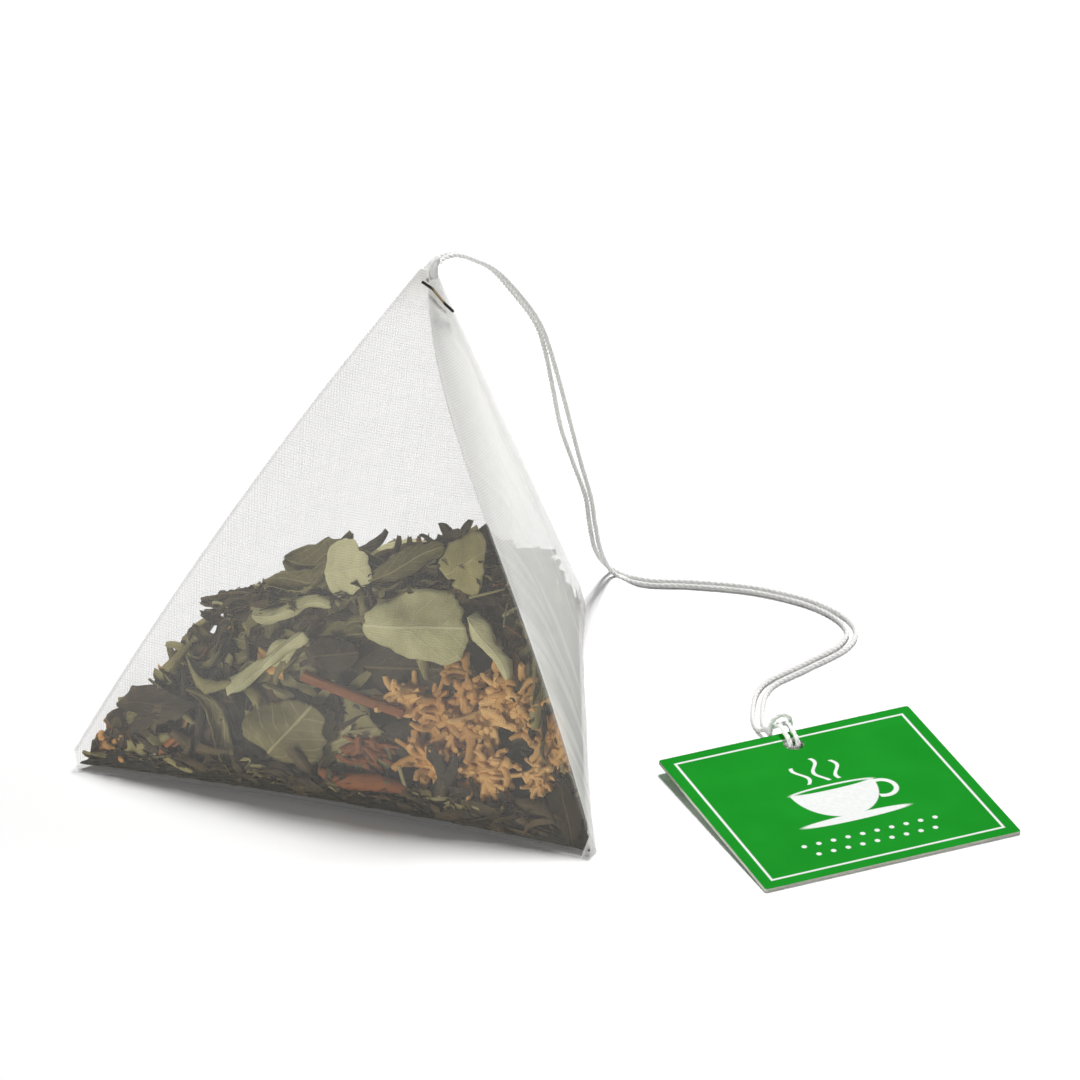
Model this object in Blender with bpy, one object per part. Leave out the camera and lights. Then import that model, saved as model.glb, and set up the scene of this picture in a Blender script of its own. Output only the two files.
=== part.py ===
"""A pyramid tea bag standing on one of its four faces, with its doubled thread and card tag.

The mesh pouch is cut out as a straight pyramid and then relaxed by soft(), which crowns its walls and
draws its edges. The tea inside is laid out in rows on the same straight walls and relaxed with them, so
it follows the cloth. X is to the right, Y goes away from the viewer and Z is up. The origin is on the
table under the middle of the pouch.
"""

import math

import bmesh
import bpy
from mathutils import Matrix, Vector, noise

MM = 0.001

# The straight pyramid, before its corners are blunted: base edges, turn of the front edge, height, lean
FRONT_EDGE = 56.9 * MM
RIGHT_EDGE = 53.7 * MM
REAR_EDGE = 64.0 * MM
FRONT_TURN = math.radians(-18.5)
POUCH_HEIGHT = 53.0 * MM
TIP_LEAN = Vector((1.7, 3.2, 0.0)) * MM
CORNER_CUT = 1.5 * MM
TIP_CUT = 1.3 * MM

# The wall that lies opposite each corner
OPPOSITE = {"back": "front", "left": "right", "right": "rear", "tip": "base"}

# How the cloth relaxes: crown of each wall, and how far each edge is drawn in (or pushed out, below 0)
FRONT_CROWN = 2.4 * MM
RIGHT_CROWN = 1.2 * MM
REAR_CROWN = 2.4 * MM
BASE_EDGE_DRAW = 1.1 * MM
LEFT_EDGE_DRAW = -1.4 * MM
RIDGE_SWING = 3.0 * MM
EDGE_REACH = 6.0 * MM

# The cloth: its coarse stand-in thickness, its seams, and the gaps of the net
CLOTH = 0.25 * MM
SEAM = 1.6 * MM
NET_PITCH = 4.5 * MM
NET_RIB = 1.3 * MM

# The tea: how high it lies, how steeply its top falls to each side and how far right of the middle its
# crest is, then the clearance round each piece and the depth of one layer of pieces
HEAP_HEIGHT = 20.0 * MM
HEAP_LEFT_FALL = 0.22
HEAP_REAR_FALL = 0.5
HEAP_RIGHT_FALL = 0.28
HEAP_CREST = 5.0 * MM
RIGHT_BELOW_TOP = 4.0 * MM
REAR_BELOW_TOP = 6.5 * MM
INNER_BELOW_TOP = 2.0 * MM
TEA_GAP = 0.45 * MM
LAYER = 1.3 * MM
LEAF = 0.3 * MM
LUMP = 0.7 * MM
ROW_FOOT = 2.8 * MM
ROW_LEAN = math.radians(33)
TOP_SHARE = 0.9

# The wire that pins the folded tip: how far below the tip it starts, and how much lower it ends
WIRE = 0.3 * MM
WIRE_GAP = 0.45 * MM
WIRE_DROP = 2.5 * MM
WIRE_FALL = 3.9 * MM

# The thread and the tag
THREAD = 0.5 * MM
THREAD_GAP = 0.35 * MM
LONG_STRETCH = 6.0 * MM
TAG_WIDTH = 28.0 * MM
TAG_DEPTH = 25.4 * MM
TAG_CARD = 0.4 * MM
TAG_TURN = math.radians(23.5)
TAG_LIFT = 0.95 * MM
TAG_HOLE = 2.1 * MM
HOLE_INSET = 2.3 * MM
TAG_HOLE_AT = Vector((46.3, -5.8, 0.0)) * MM

# The middle of the doubled thread from the pouch to the tag, in millimetres, chosen by hand: first from
# the tip down, measured from the tip, then along the table. The last number is how far apart the two
# strands run there.
FALL_ROUTE = (
    (0.6, 0.3, 0.6, 0.85),
    (1.3, 1.5, 0.6, 0.85),
    (2.5, 2.8, 0.2, 0.85),
    (4.1, 4.6, -1.2, 0.85),
    (6.3, 7.0, -3.6, 0.95),
    (8.7, 9.6, -7.8, 1.4),
    (10.5, 11.6, -11.6, 0.85),
    (11.5, 13.4, -15.4, 0.85),
    (12.6, 16.4, -21.8, 1.3),
    (13.5, 19.2, -27.5, 1.7),
    (14.6, 21.6, -32.7, 1.3),
    (15.8, 24.2, -38.1, 0.85),
    (16.3, 26.6, -42.7, 0.85),
    (17.0, 29.0, -47.3, 0.85),
)
TABLE_ROUTE = (
    (28.5, 32.6, 0.85),
    (31.8, 30.3, 0.85),
    (37.1, 29.8, 0.85),
    (43.7, 28.4, 0.85),
    (49.8, 25.1, 0.85),
    (53.0, 20.7, 0.85),
    (52.4, 16.5, 0.85),
    (48.2, 12.1, 0.85),
    (44.0, 7.8, 0.85),
    (42.9, 2.4, 0.85),
    (43.3, -1.0, 0.85),
)


def straight_corners():
    """The corners of the straight pyramid, with the left one at the origin."""
    left = Vector()
    right = Vector((math.cos(FRONT_TURN), math.sin(FRONT_TURN), 0)) * FRONT_EDGE
    cosine = (FRONT_EDGE**2 + REAR_EDGE**2 - RIGHT_EDGE**2) / (2 * FRONT_EDGE * REAR_EDGE)
    at_left = FRONT_TURN + math.acos(cosine)
    back = Vector((math.cos(at_left), math.sin(at_left), 0)) * REAR_EDGE
    tip = (left + right + back) / 3 + TIP_LEAN + Vector((0, 0, POUCH_HEIGHT))
    return {"left": left, "right": right, "back": back, "tip": tip}


class Wall:
    """One flat face of the straight pyramid: its corners, its axes and its outward normal."""

    def __init__(self, corners, names, crown):
        start, end, top = (corners[name] for name in names)
        (self.opposite,) = set(corners) - set(names)
        self.start, self.crown = start, crown
        self.width = (end - start).length
        self.along = (end - start).normalized()
        self.up = (top - start - self.along * (top - start).dot(self.along)).normalized()
        self.normal = self.along.cross(self.up)
        self.slant = (top - start).dot(self.up)
        self.top_along = (top - start).dot(self.along)
        self.reach = (start - corners[self.opposite]).dot(self.normal)

    def point(self, along, up, depth=0.0):
        return self.start + self.along * along + self.up * up - self.normal * depth

    def share(self, point):
        """0 on this wall and 1 at the corner opposite it."""
        return (self.start - point).dot(self.normal) / self.reach

    def span(self, up, inset):
        """Where a level line on the wall starts and ends, an inset away from the slanting edges."""
        left_slope = self.top_along / self.slant
        right_slope = (self.width - self.top_along) / self.slant
        start = up * left_slope + inset * math.hypot(1, left_slope)
        end = self.width - up * right_slope - inset * math.hypot(1, right_slope)
        return start, end


def make_walls(corners):
    return {
        "front": Wall(corners, ("left", "right", "tip"), FRONT_CROWN),
        "right": Wall(corners, ("right", "back", "tip"), RIGHT_CROWN),
        "rear": Wall(corners, ("back", "left", "tip"), REAR_CROWN),
        "base": Wall(corners, ("right", "left", "back"), 0.0),
    }


def soft(walls, point):
    """Where a point of the straight pyramid lies once the cloth has relaxed."""
    share = {wall.opposite: wall.share(point) for wall in walls.values()}
    normal = {wall.opposite: wall.normal for wall in walls.values()}
    moved = point.copy()
    for wall in walls.values():
        others = [share[name] for name in share if name != wall.opposite]
        moved += wall.normal * wall.crown * 27 * math.prod(others)

    def near_edge(first, second):
        """1 on the edge between two corners, falling to 0 at EDGE_REACH from it."""
        away = sum(share[name] * walls[face].reach for name, face in OPPOSITE.items()
                   if name not in (first, second))
        return max(0.0, 1 - abs(away) / EDGE_REACH) ** 2 * 4 * share[first] * share[second]

    for first, second, draw in (
        ("left", "right", BASE_EDGE_DRAW),
        ("right", "back", BASE_EDGE_DRAW),
        ("back", "left", BASE_EDGE_DRAW),
        ("left", "tip", LEFT_EDGE_DRAW),
    ):
        outward = sum((normal[name] for name in share if name not in (first, second)), Vector())
        moved -= outward.normalized() * draw * near_edge(first, second)
    moved -= walls["front"].along * RIDGE_SWING * near_edge("right", "tip") * share["tip"] ** 2 * 2
    return moved


def paint(obj, name, colour, roughness, alpha=1.0):
    material = bpy.data.materials.get(name) or bpy.data.materials.new(name)
    material.use_nodes = True
    shader = material.node_tree.nodes["Principled BSDF"]
    shader.inputs["Base Color"].default_value = (*colour, 1)
    shader.inputs["Roughness"].default_value = roughness
    shader.inputs["Metallic"].default_value = 0.0
    shader.inputs["Alpha"].default_value = alpha
    obj.data.materials.append(material)


def add_object(name, bm, smooth=True):
    mesh = bpy.data.meshes.new(name)
    bm.to_mesh(mesh)
    bm.free()
    obj = bpy.data.objects.new(name, mesh)
    bpy.context.scene.collection.objects.link(obj)
    if smooth:
        mesh.shade_smooth()
        mesh.set_sharp_from_angle(angle=math.radians(40))
    return obj


def thicken(obj, thickness, offset):
    modifier = obj.modifiers.new("Thickness", "SOLIDIFY")
    modifier.thickness = thickness
    modifier.offset = offset


def straight_pyramid(corners):
    bm = bmesh.new()
    for corner in corners.values():
        bm.verts.new(corner)
    bmesh.ops.convex_hull(bm, input=bm.verts)
    bmesh.ops.recalc_face_normals(bm, faces=bm.faces)
    return bm


def cut_off(bm, point, normal):
    """Takes away what lies beyond a plane, and closes the cut."""
    geom = bm.verts[:] + bm.edges[:] + bm.faces[:]
    cut = bmesh.ops.bisect_plane(
        bm, geom=geom, dist=1e-8, plane_co=point, plane_no=normal, clear_outer=True
    )
    edges = [item for item in cut["geom_cut"] if isinstance(item, bmesh.types.BMEdge)]
    bmesh.ops.holes_fill(bm, edges=edges)
    bmesh.ops.recalc_face_normals(bm, faces=bm.faces)


def faces_on(bm, wall):
    return [face for face in bm.faces if face.normal.dot(wall.normal) > 0.9999]


def score(bm, wall, point, direction):
    """Cuts an edge across one wall along a plane."""
    faces = faces_on(bm, wall)
    edges = {edge for face in faces for edge in face.edges}
    verts = {vert for face in faces for vert in face.verts}
    bmesh.ops.bisect_plane(
        bm, geom=[*faces, *edges, *verts], dist=1e-7, plane_co=point, plane_no=direction
    )


def score_bands(bm, walls, wall, distances):
    """Scores lines along each edge of a wall, for its seams and for the bend next to them."""
    for other in walls.values():
        if other is wall:
            continue
        inward = (other.normal - wall.normal * other.normal.dot(wall.normal)).normalized()
        corner = next(
            wall.point(*at)
            for at in ((0, 0), (wall.width, 0), (wall.top_along, wall.slant))
            if abs(other.share(wall.point(*at))) < 1e-6
        )
        for distance in distances:
            score(bm, wall, corner - inward * distance, inward)


def net_cells(bm, wall):
    """Scores a square net over a wall and returns its whole squares."""
    rows = int((wall.slant - EDGE_REACH) / NET_PITCH)
    columns = int(wall.width / NET_PITCH / 2)
    for row in range(rows + 1):
        score(bm, wall, wall.point(0, EDGE_REACH * 0.75 + row * NET_PITCH), wall.up)
    for column in range(-columns, columns + 1):
        score(bm, wall, wall.point(wall.top_along + (column + 0.5) * NET_PITCH, 0), wall.along)
    return [f for f in faces_on(bm, wall) if f.calc_area() > 0.995 * NET_PITCH**2]


def pouch_skin(corners, walls):
    """The outer face of the relaxed pouch, with the gaps of its net."""
    middle = sum(corners.values(), Vector()) / 4
    bm = straight_pyramid(corners)
    for name in ("left", "right", "back"):
        outward = (corners[name] - middle).to_2d().to_3d().normalized()
        cut_off(bm, corners[name] - outward * CORNER_CUT, outward)
    outward = (corners["tip"] - middle).normalized()
    cut_off(bm, corners["tip"] - outward * TIP_CUT, outward)
    score_bands(bm, walls, walls["base"], (SEAM, EDGE_REACH * 0.6, EDGE_REACH * 1.01))
    cells = []
    for name in ("front", "right", "rear"):
        score_bands(bm, walls, walls[name], (SEAM, EDGE_REACH * 0.6))
        cells += net_cells(bm, walls[name])
    bmesh.ops.inset_individual(bm, faces=cells, thickness=NET_RIB / 2)
    bmesh.ops.delete(bm, geom=cells, context="FACES")
    for vert in bm.verts:
        vert.co = soft(walls, vert.co)
    return bm, len(cells)


def place_corners():
    """Moves the pyramid so that the relaxed pouch's box stands centred on the origin."""
    corners = straight_corners()
    skin, _ = pouch_skin(corners, make_walls(corners))
    xs = [vert.co.x for vert in skin.verts]
    ys = [vert.co.y for vert in skin.verts]
    skin.free()
    middle = Vector((min(xs) + max(xs), min(ys) + max(ys), 0)) / 2
    return {name: corner - middle for name, corner in corners.items()}


def make_pouch(corners, walls):
    skin, gaps = pouch_skin(corners, walls)
    pouch = add_object("mesh_pouch", skin)
    thicken(pouch, CLOTH, -1)
    paint(pouch, "mesh_cloth", (0.86, 0.86, 0.84), 0.6, alpha=0.45)
    print("gaps in the net:", gaps)
    return pouch


def leaf(turn, bow):
    """A flat leaf blade with a point at each end, bowed along its midrib."""
    bm = bmesh.new()
    bmesh.ops.create_grid(bm, x_segments=8, y_segments=2, size=1)
    for vert in bm.verts:
        x, y = vert.co.x, vert.co.y
        half = 0.12 + 0.88 * math.cos(x * math.pi / 2 * 0.96) ** 0.7
        wave = 0.1 * math.sin(7 * x + turn) * abs(y)
        side = (y * 0.55 + 0.12 * math.sin(2.2 * x)) * half
        vert.co = Vector((x, side, bow * (y * y - 0.4 * x * x) + wave))
    bmesh.ops.rotate(bm, verts=bm.verts, cent=(0, 0, 0), matrix=Matrix.Rotation(turn, 3, "Z"))
    return bm


def broken_leaf(turn, bow):
    """A broad torn piece of blade."""
    bm = bmesh.new()
    bmesh.ops.create_grid(bm, x_segments=6, y_segments=4, size=1)
    for vert in bm.verts:
        x, y = vert.co.x, vert.co.y
        angle = math.atan2(y, x)
        edge = 0.86 + 0.1 * math.sin(3 * angle + turn) + 0.06 * math.sin(7 * angle)
        round_off = max(abs(x), abs(y)) / max(1e-6, math.hypot(x, y)) if (x or y) else 1
        vert.co = Vector((x * edge * round_off, y * edge * round_off, bow * (x * y + 0.5 * y * y)))
    bmesh.ops.rotate(bm, verts=bm.verts, cent=(0, 0, 0), matrix=Matrix.Rotation(turn, 3, "Z"))
    return bm


def curled_leaf(turn, bow):
    """A narrow leaf that has dried into a gutter along its length."""
    bm = bmesh.new()
    bmesh.ops.create_grid(bm, x_segments=8, y_segments=5, size=1)
    for vert in bm.verts:
        x, y = vert.co.x, vert.co.y
        narrow = 0.35 + 0.65 * math.cos(x * math.pi / 2 * 0.95)
        roll = y * narrow * math.radians(95) + 0.4 * x
        bend = 0.35 * bow * x * x
        vert.co = Vector((x, 0.24 * math.sin(roll) + bend, -0.24 * math.cos(roll)))
    bmesh.ops.rotate(bm, verts=bm.verts, cent=(0, 0, 0), matrix=Matrix.Rotation(turn, 3, "Z"))
    return bm


def rod(turn, bow):
    """A straight cut of stem or bark."""
    bm = bmesh.new()
    level = Matrix.Rotation(math.pi / 2, 4, "Y")
    bmesh.ops.create_cone(
        bm, cap_ends=True, segments=8, radius1=0.13, radius2=0.1, depth=2, matrix=level
    )
    middle = [edge for edge in bm.edges if abs(edge.verts[0].co.x - edge.verts[1].co.x) > 1]
    bmesh.ops.subdivide_edges(bm, edges=middle, cuts=4)
    for vert in bm.verts:
        vert.co.y += 0.2 * bow * vert.co.x**2
    bmesh.ops.rotate(bm, verts=bm.verts, cent=(0, 0, 0), matrix=Matrix.Rotation(turn, 3, "Z"))
    return bm


def tuft(turn, bow):
    """A dried floret: a small heart with curled petals drawn out of it."""
    bm = bmesh.new()
    bmesh.ops.create_cone(bm, cap_ends=True, segments=6, radius1=0.34, radius2=0.3, depth=0.36)
    petals = [face for face in bm.faces if abs(face.normal.z) < 0.5]
    for count, face in enumerate(petals):
        out = face.normal.copy()
        lift = 0.07 * bow * (1 if count % 2 else -1)
        for width in (0.85, 0.8, 0.55):
            face = bmesh.ops.extrude_discrete_faces(bm, faces=[face])["faces"][0]
            out.rotate(Matrix.Rotation(0.22 + 0.1 * bow, 3, "Z"))
            bmesh.ops.translate(bm, verts=face.verts, vec=out * 0.26 + Vector((0, 0, lift)))
            middle = face.calc_center_median()
            bmesh.ops.scale(
                bm, verts=face.verts, vec=(width,) * 3, space=Matrix.Translation(-middle)
            )
    bmesh.ops.rotate(bm, verts=bm.verts, cent=(0, 0, 0), matrix=Matrix.Rotation(turn, 3, "Z"))
    return bm


SHAPES = {"leaf": leaf, "broken": broken_leaf, "curled": curled_leaf, "rod": rod, "tuft": tuft}
SHEETS = ("leaf", "broken", "curled")
COLOURS = {
    "pale_leaf": (0.28, 0.30, 0.12),
    "green_leaf": (0.11, 0.14, 0.045),
    "dark_leaf": (0.05, 0.06, 0.028),
    "stem": (0.30, 0.29, 0.13),
    "red_bark": (0.30, 0.11, 0.045),
    "floret": (0.62, 0.33, 0.11),
}


def box_of(bm):
    columns = list(zip(*(vert.co for vert in bm.verts)))
    return Vector(min(c) for c in columns), Vector(max(c) for c in columns)


def add_tea(name, colour, shape, to_place, cell, turn, bow):
    """One piece of tea, scaled to fill its cell: (along, up, depth) from its low to its high corner."""
    bm = SHAPES[shape](turn, bow)
    low, high = box_of(bm)
    skin = LEAF / 2 if shape in SHEETS else 0.0
    cell_low = Vector(cell[0]) + Vector((1, 1, 1)) * skin
    cell_high = Vector(cell[1]) - Vector((1, 1, 1)) * skin
    room = cell_high - cell_low
    size = high - low
    flat = min(room.x / size.x, room.y / size.y)
    deep = min(flat, room.z / size.z)
    middle, cell_middle = (low + high) / 2, (cell_low + cell_high) / 2
    for vert in bm.verts:
        offset = vert.co - middle
        vert.co = to_place(cell_middle + Vector((offset.x * flat, offset.y * flat, offset.z * deep)))
    centre = to_place(cell_middle)
    across, upward, inward = (to_place(cell_middle + axis * MM) - centre for axis in Matrix.Identity(3))
    if across.cross(upward).dot(inward) < 0:
        bmesh.ops.reverse_faces(bm, faces=bm.faces)
    piece = add_object(name, bm)
    if shape in SHEETS:
        thicken(piece, LEAF, 0)
    paint(piece, colour, COLOURS[colour], 0.8)
    return piece


# The tea against the front wall, piece by piece: its colour and shape, then its cell as the left, low,
# right and high side in hundredths of the wall's width and height, its turn in degrees and its bow.
FRONT_CELLS = (
    ("floret", "tuft", (8.5, 4.5, 16.5, 10), 20, 0.4),
    ("red_bark", "curled", (16.5, 4.5, 21.5, 10), 40, 0.4),
    ("green_leaf", "curled", (21.5, 4.5, 31, 17), -50, -0.8),
    ("dark_leaf", "curled", (15.5, 10.5, 21.5, 21), 65, 0.5),
    ("green_leaf", "curled", (21.5, 17.5, 29.5, 24), -15, 0.6),
    ("pale_leaf", "leaf", (29.5, 19, 43, 31), 35, 0.5),
    ("dark_leaf", "leaf", (31, 4.5, 44, 8), -4, 0.3),
    ("green_leaf", "broken", (33.5, 8, 48, 19), 60, 0.25),
    ("dark_leaf", "curled", (25.5, 31.5, 33.5, 38), 40, 0.4),
    ("pale_leaf", "leaf", (33.5, 31.5, 46.5, 38), 8, 0.5),
    ("red_bark", "rod", (43, 19, 62, 25), -15, 0.05),
    ("red_bark", "tuft", (48.5, 8.5, 63, 15.5), 12, 0.4),
    ("red_bark", "curled", (48.5, 4.5, 63, 8.5), -6, 0.3),
    ("dark_leaf", "broken", (43.5, 25, 54, 31.5), 20, 0.3),
    ("pale_leaf", "broken", (45.5, 38.5, 54, 48.5), 15, 0.3),
    ("green_leaf", "curled", (35, 38.5, 45.5, 45.5), 25, 0.5),
    ("pale_leaf", "broken", (54, 30, 71.5, 42), 10, 0.2),
    ("green_leaf", "leaf", (54, 42.5, 65.5, 50.5), 25, 0.5),
    ("green_leaf", "broken", (65.5, 42.5, 73.5, 53), 30, 0.3),
    ("pale_leaf", "leaf", (72, 28.5, 80, 39), -52, 0.4),
    ("floret", "tuft", (62.5, 16, 72, 26), 10, 0.6),
    ("floret", "tuft", (72, 17, 83, 28), 35, 0.4),
    ("floret", "tuft", (83.5, 9, 90, 16), 0, 0.4),
    ("floret", "tuft", (72, 8, 83.5, 16.5), 50, 0.5),
    ("floret", "tuft", (63.5, 7.5, 72, 15.5), 25, 0.4),
    ("stem", "rod", (64, 4.5, 82, 7.5), -3, 0.3),
    ("dark_leaf", "curled", (84, 4.5, 92, 8.5), -10, 0.5),
)
# Rows of tea on the other walls and on the top of the heap, from the foot of the wall up. A piece is its
# colour, its shape, its share of the row, its turn in degrees and its bow.
INNER_ROWS = (
    (
        ("dark_leaf", "leaf", 0.34, 8, 0.4),
        ("green_leaf", "broken", 0.30, 30, 0.3),
        ("dark_leaf", "leaf", 0.36, -12, 0.4),
    ),
    (
        ("green_leaf", "leaf", 0.50, 22, 0.4),
        ("dark_leaf", "broken", 0.50, 10, 0.3),
    ),
)
RIGHT_ROWS = (
    (
        ("green_leaf", "leaf", 0.36, 18, 0.4),
        ("dark_leaf", "curled", 0.30, -22, 0.5),
        ("green_leaf", "broken", 0.34, 35, 0.3),
    ),
    (
        ("floret", "tuft", 0.48, 30, 0.4),
        ("pale_leaf", "leaf", 0.52, 30, 0.4),
    ),
    (
        ("pale_leaf", "broken", 0.5, 20, 0.3),
        ("green_leaf", "leaf", 0.5, -35, 0.4),
    ),
)
REAR_ROWS = (
    (
        ("green_leaf", "leaf", 0.36, -15, 0.4),
        ("dark_leaf", "leaf", 0.34, 14, 0.4),
        ("floret", "tuft", 0.30, 50, 0.4),
    ),
    (
        ("pale_leaf", "broken", 0.34, 25, 0.3),
        ("red_bark", "rod", 0.32, 26, 0.1),
        ("green_leaf", "leaf", 0.34, -22, 0.4),
    ),
    (
        ("green_leaf", "leaf", 0.36, 30, 0.5),
        ("pale_leaf", "leaf", 0.34, -24, 0.4),
        ("dark_leaf", "curled", 0.30, 60, 0.5),
    ),
)
TOP_ROWS = (
    (
        ("green_leaf", "leaf", 0.5, 15, 0.4),
        ("pale_leaf", "broken", 0.5, 40, 0.3),
    ),
    (("pale_leaf", "leaf", 1.0, 12, 0.5),),
)


def lay_rows(group, rows, span, place, low, high, depth):
    """Lays rows of tea between two heights. span(height) gives where a row starts and ends."""
    pitch = (high - low) / len(rows)
    made = 0
    for index, row in enumerate(rows):
        floor, ceiling = low + index * pitch, low + (index + 1) * pitch - TEA_GAP
        start, end = span(ceiling)
        at = start
        for colour, shape, share, turn, bow in row:
            width = share * (end - start)
            made += 1
            cell = ((at, floor, depth), (at + width - TEA_GAP, ceiling, depth + LAYER))
            name = f"{colour}_{group}_{made:02d}"
            add_tea(name, colour, shape, place, cell, math.radians(turn), bow)
            at += width


def heap_top(walls):
    """The top of the heap as a point and its normal: it falls towards the left corner and the rear."""
    middle = (walls["front"].start + walls["right"].start + walls["rear"].start) / 3
    upward = Vector((-HEAP_LEFT_FALL, HEAP_REAR_FALL, 1)).normalized()
    return middle + Vector((0, 0, HEAP_HEIGHT)), upward


def make_bed(corners, walls, depth):
    """The fine cut leaf in the middle of the heap."""
    bm = straight_pyramid(corners)
    for name in ("front", "right", "rear"):
        wall = walls[name]
        cut_off(bm, wall.point(0, 0, depth), wall.normal)
    cut_off(bm, walls["base"].point(0, 0, CLOTH + TEA_GAP), walls["base"].normal)
    top, upward = heap_top(walls)
    cut_off(bm, top, upward)
    crest = top + Vector((1, 0, HEAP_LEFT_FALL)) * HEAP_CREST
    cut_off(bm, crest, Vector((HEAP_RIGHT_FALL, HEAP_REAR_FALL, 1)).normalized())
    bmesh.ops.triangulate(bm, faces=bm.faces)
    for _ in range(3):
        longest = max(edge.calc_length() for edge in bm.edges)
        long_edges = [edge for edge in bm.edges if edge.calc_length() > longest * 0.55]
        bmesh.ops.subdivide_edges(bm, edges=long_edges, cuts=1)
        bmesh.ops.triangulate(bm, faces=bm.faces)
    bm.normal_update()
    moves = {}
    for vert in bm.verts:
        lump = 0.5 + 0.5 * noise.noise(vert.co / (4 * MM))
        moves[vert] = vert.normal * LUMP * min(1.0, max(0.0, lump))
    for vert, move in moves.items():
        vert.co = soft(walls, vert.co - move)
    bed = add_object("cut_leaf_bed", bm, smooth=False)
    paint(bed, "dark_leaf", COLOURS["dark_leaf"], 0.9)


def lay_front(wall, place, depth):
    """Lays the hand-placed pieces against the front wall."""
    across, upward, half = wall.width / 100, wall.slant / 100, TEA_GAP / 2
    for count, (colour, shape, (left, low, right, high), turn, bow) in enumerate(FRONT_CELLS, 1):
        cell = (
            (left * across + half, low * upward + half, depth),
            (right * across - half, high * upward - half, depth + LAYER),
        )
        name = f"{colour}_front_{count:02d}"
        add_tea(name, colour, shape, place, cell, math.radians(turn), bow)


def onto(walls, name):
    """Turns a place on one wall, as along, up and depth, into where it lies in the relaxed pouch."""
    return lambda at: soft(walls, walls[name].point(at.x, at.y, at.z))


def make_tea(corners, walls):
    first = CLOTH + TEA_GAP
    second = first + LAYER + TEA_GAP
    bed = second + LAYER + TEA_GAP
    make_bed(corners, walls, bed)
    lay_front(walls["front"], onto(walls, "front"), first)
    for group, name, rows, depth, low, below_top in (
        ("inner", "front", INNER_ROWS, second, ROW_FOOT * 1.5, INNER_BELOW_TOP),
        ("right", "right", RIGHT_ROWS, first, ROW_FOOT, RIGHT_BELOW_TOP),
        ("rear", "rear", REAR_ROWS, first, ROW_FOOT, REAR_BELOW_TOP),
    ):
        wall = walls[name]
        inset = (depth + LAYER + TEA_GAP) / math.tan(ROW_LEAN)
        high = (HEAP_HEIGHT - below_top) / wall.up.z

        def span(height, wall=wall, inset=inset):
            return wall.span(height, inset)

        lay_rows(group, rows, span, onto(walls, name), low, high, depth)
    lay_top(walls, second)


def lay_top(walls, clear_depth):
    """A few leaves lying on the top of the heap."""
    top, upward = heap_top(walls)
    across = Vector((0, 1, 0)).cross(upward).normalized()
    away = upward.cross(across)

    sides = (walls["front"], walls["right"], walls["rear"])
    reach = (min(wall.share(top) * wall.reach for wall in sides) - clear_depth) * TOP_SHARE

    def place(at):
        return soft(walls, top + across * at.x + away * at.y + upward * at.z)

    def span(height):
        return -reach, reach

    lay_rows("top", TOP_ROWS, span, place, -reach, reach, TEA_GAP)


def make_wire(walls):
    """A fine wire pressed slantwise across the front of the folded tip, over the ridge between two walls."""
    front, right = walls["front"], walls["right"]
    off = WIRE / 2 + WIRE_GAP

    def on(wall, side, fall):
        up = wall.slant - WIRE_DROP - WIRE_FALL * fall
        start, end = wall.span(up, 0)
        return soft(walls, wall.point(start + (end - start) * side, up))

    outward = (front.normal + right.normal).normalized()
    points = [
        on(front, 0.62, 0.0) + front.normal * off,
        on(front, 1.0, 0.2) + outward * off * 1.25,
        on(right, 0.15, 0.44) + right.normal * off,
        on(right, 0.3, 0.7) + right.normal * off,
        on(right, 0.47, 1.0) + right.normal * off,
    ]
    wire = add_tube("tip_wire", points, WIRE)
    paint(wire, "dark_wire", (0.05, 0.04, 0.03), 0.4)


def add_tube(name, points, diameter):
    curve = bpy.data.curves.new(name, "CURVE")
    curve.dimensions = "3D"
    curve.bevel_depth = diameter / 2
    curve.bevel_resolution = 2
    curve.use_fill_caps = True
    spline = curve.splines.new("POLY")
    spline.points.add(len(points) - 1)
    for place, point in zip(spline.points, points):
        place.co = (*point, 1)
    obj = bpy.data.objects.new(name, curve)
    bpy.context.scene.collection.objects.link(obj)
    return obj


def through(points):
    """A smooth curve through the points, read again half way along each long stretch."""
    ends = [points[0] * 2 - points[1], *points, points[-1] * 2 - points[-2]]
    smooth = []
    for a, b, c, d in zip(ends, ends[1:], ends[2:], ends[3:]):
        bend, twist = a * 2 - b * 5 + c * 4 - d, b * 3 - a - c * 3 + d
        steps = 2 if (c - b).length > LONG_STRETCH else 1
        for step in range(steps):
            t = step / steps
            smooth.append((b * 2 + (c - a) * t + bend * t**2 + twist * t**3) / 2)
    return [*smooth, points[-1]]


def tag_frame():
    """The tag's own axes: along its long side, towards its back edge, and up; and its top at the hole."""
    along = Vector((math.cos(TAG_TURN), math.sin(TAG_TURN), 0))
    rise = math.asin(TAG_LIFT / (TAG_DEPTH - HOLE_INSET))
    level = Vector((-math.sin(TAG_TURN), math.cos(TAG_TURN), 0))
    back = level * math.cos(rise) + Vector((0, 0, math.sin(rise)))
    up = along.cross(back)
    hole = TAG_HOLE_AT + Vector((0, 0, TAG_LIFT)) + up * TAG_CARD
    return along, back, up, hole


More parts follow.
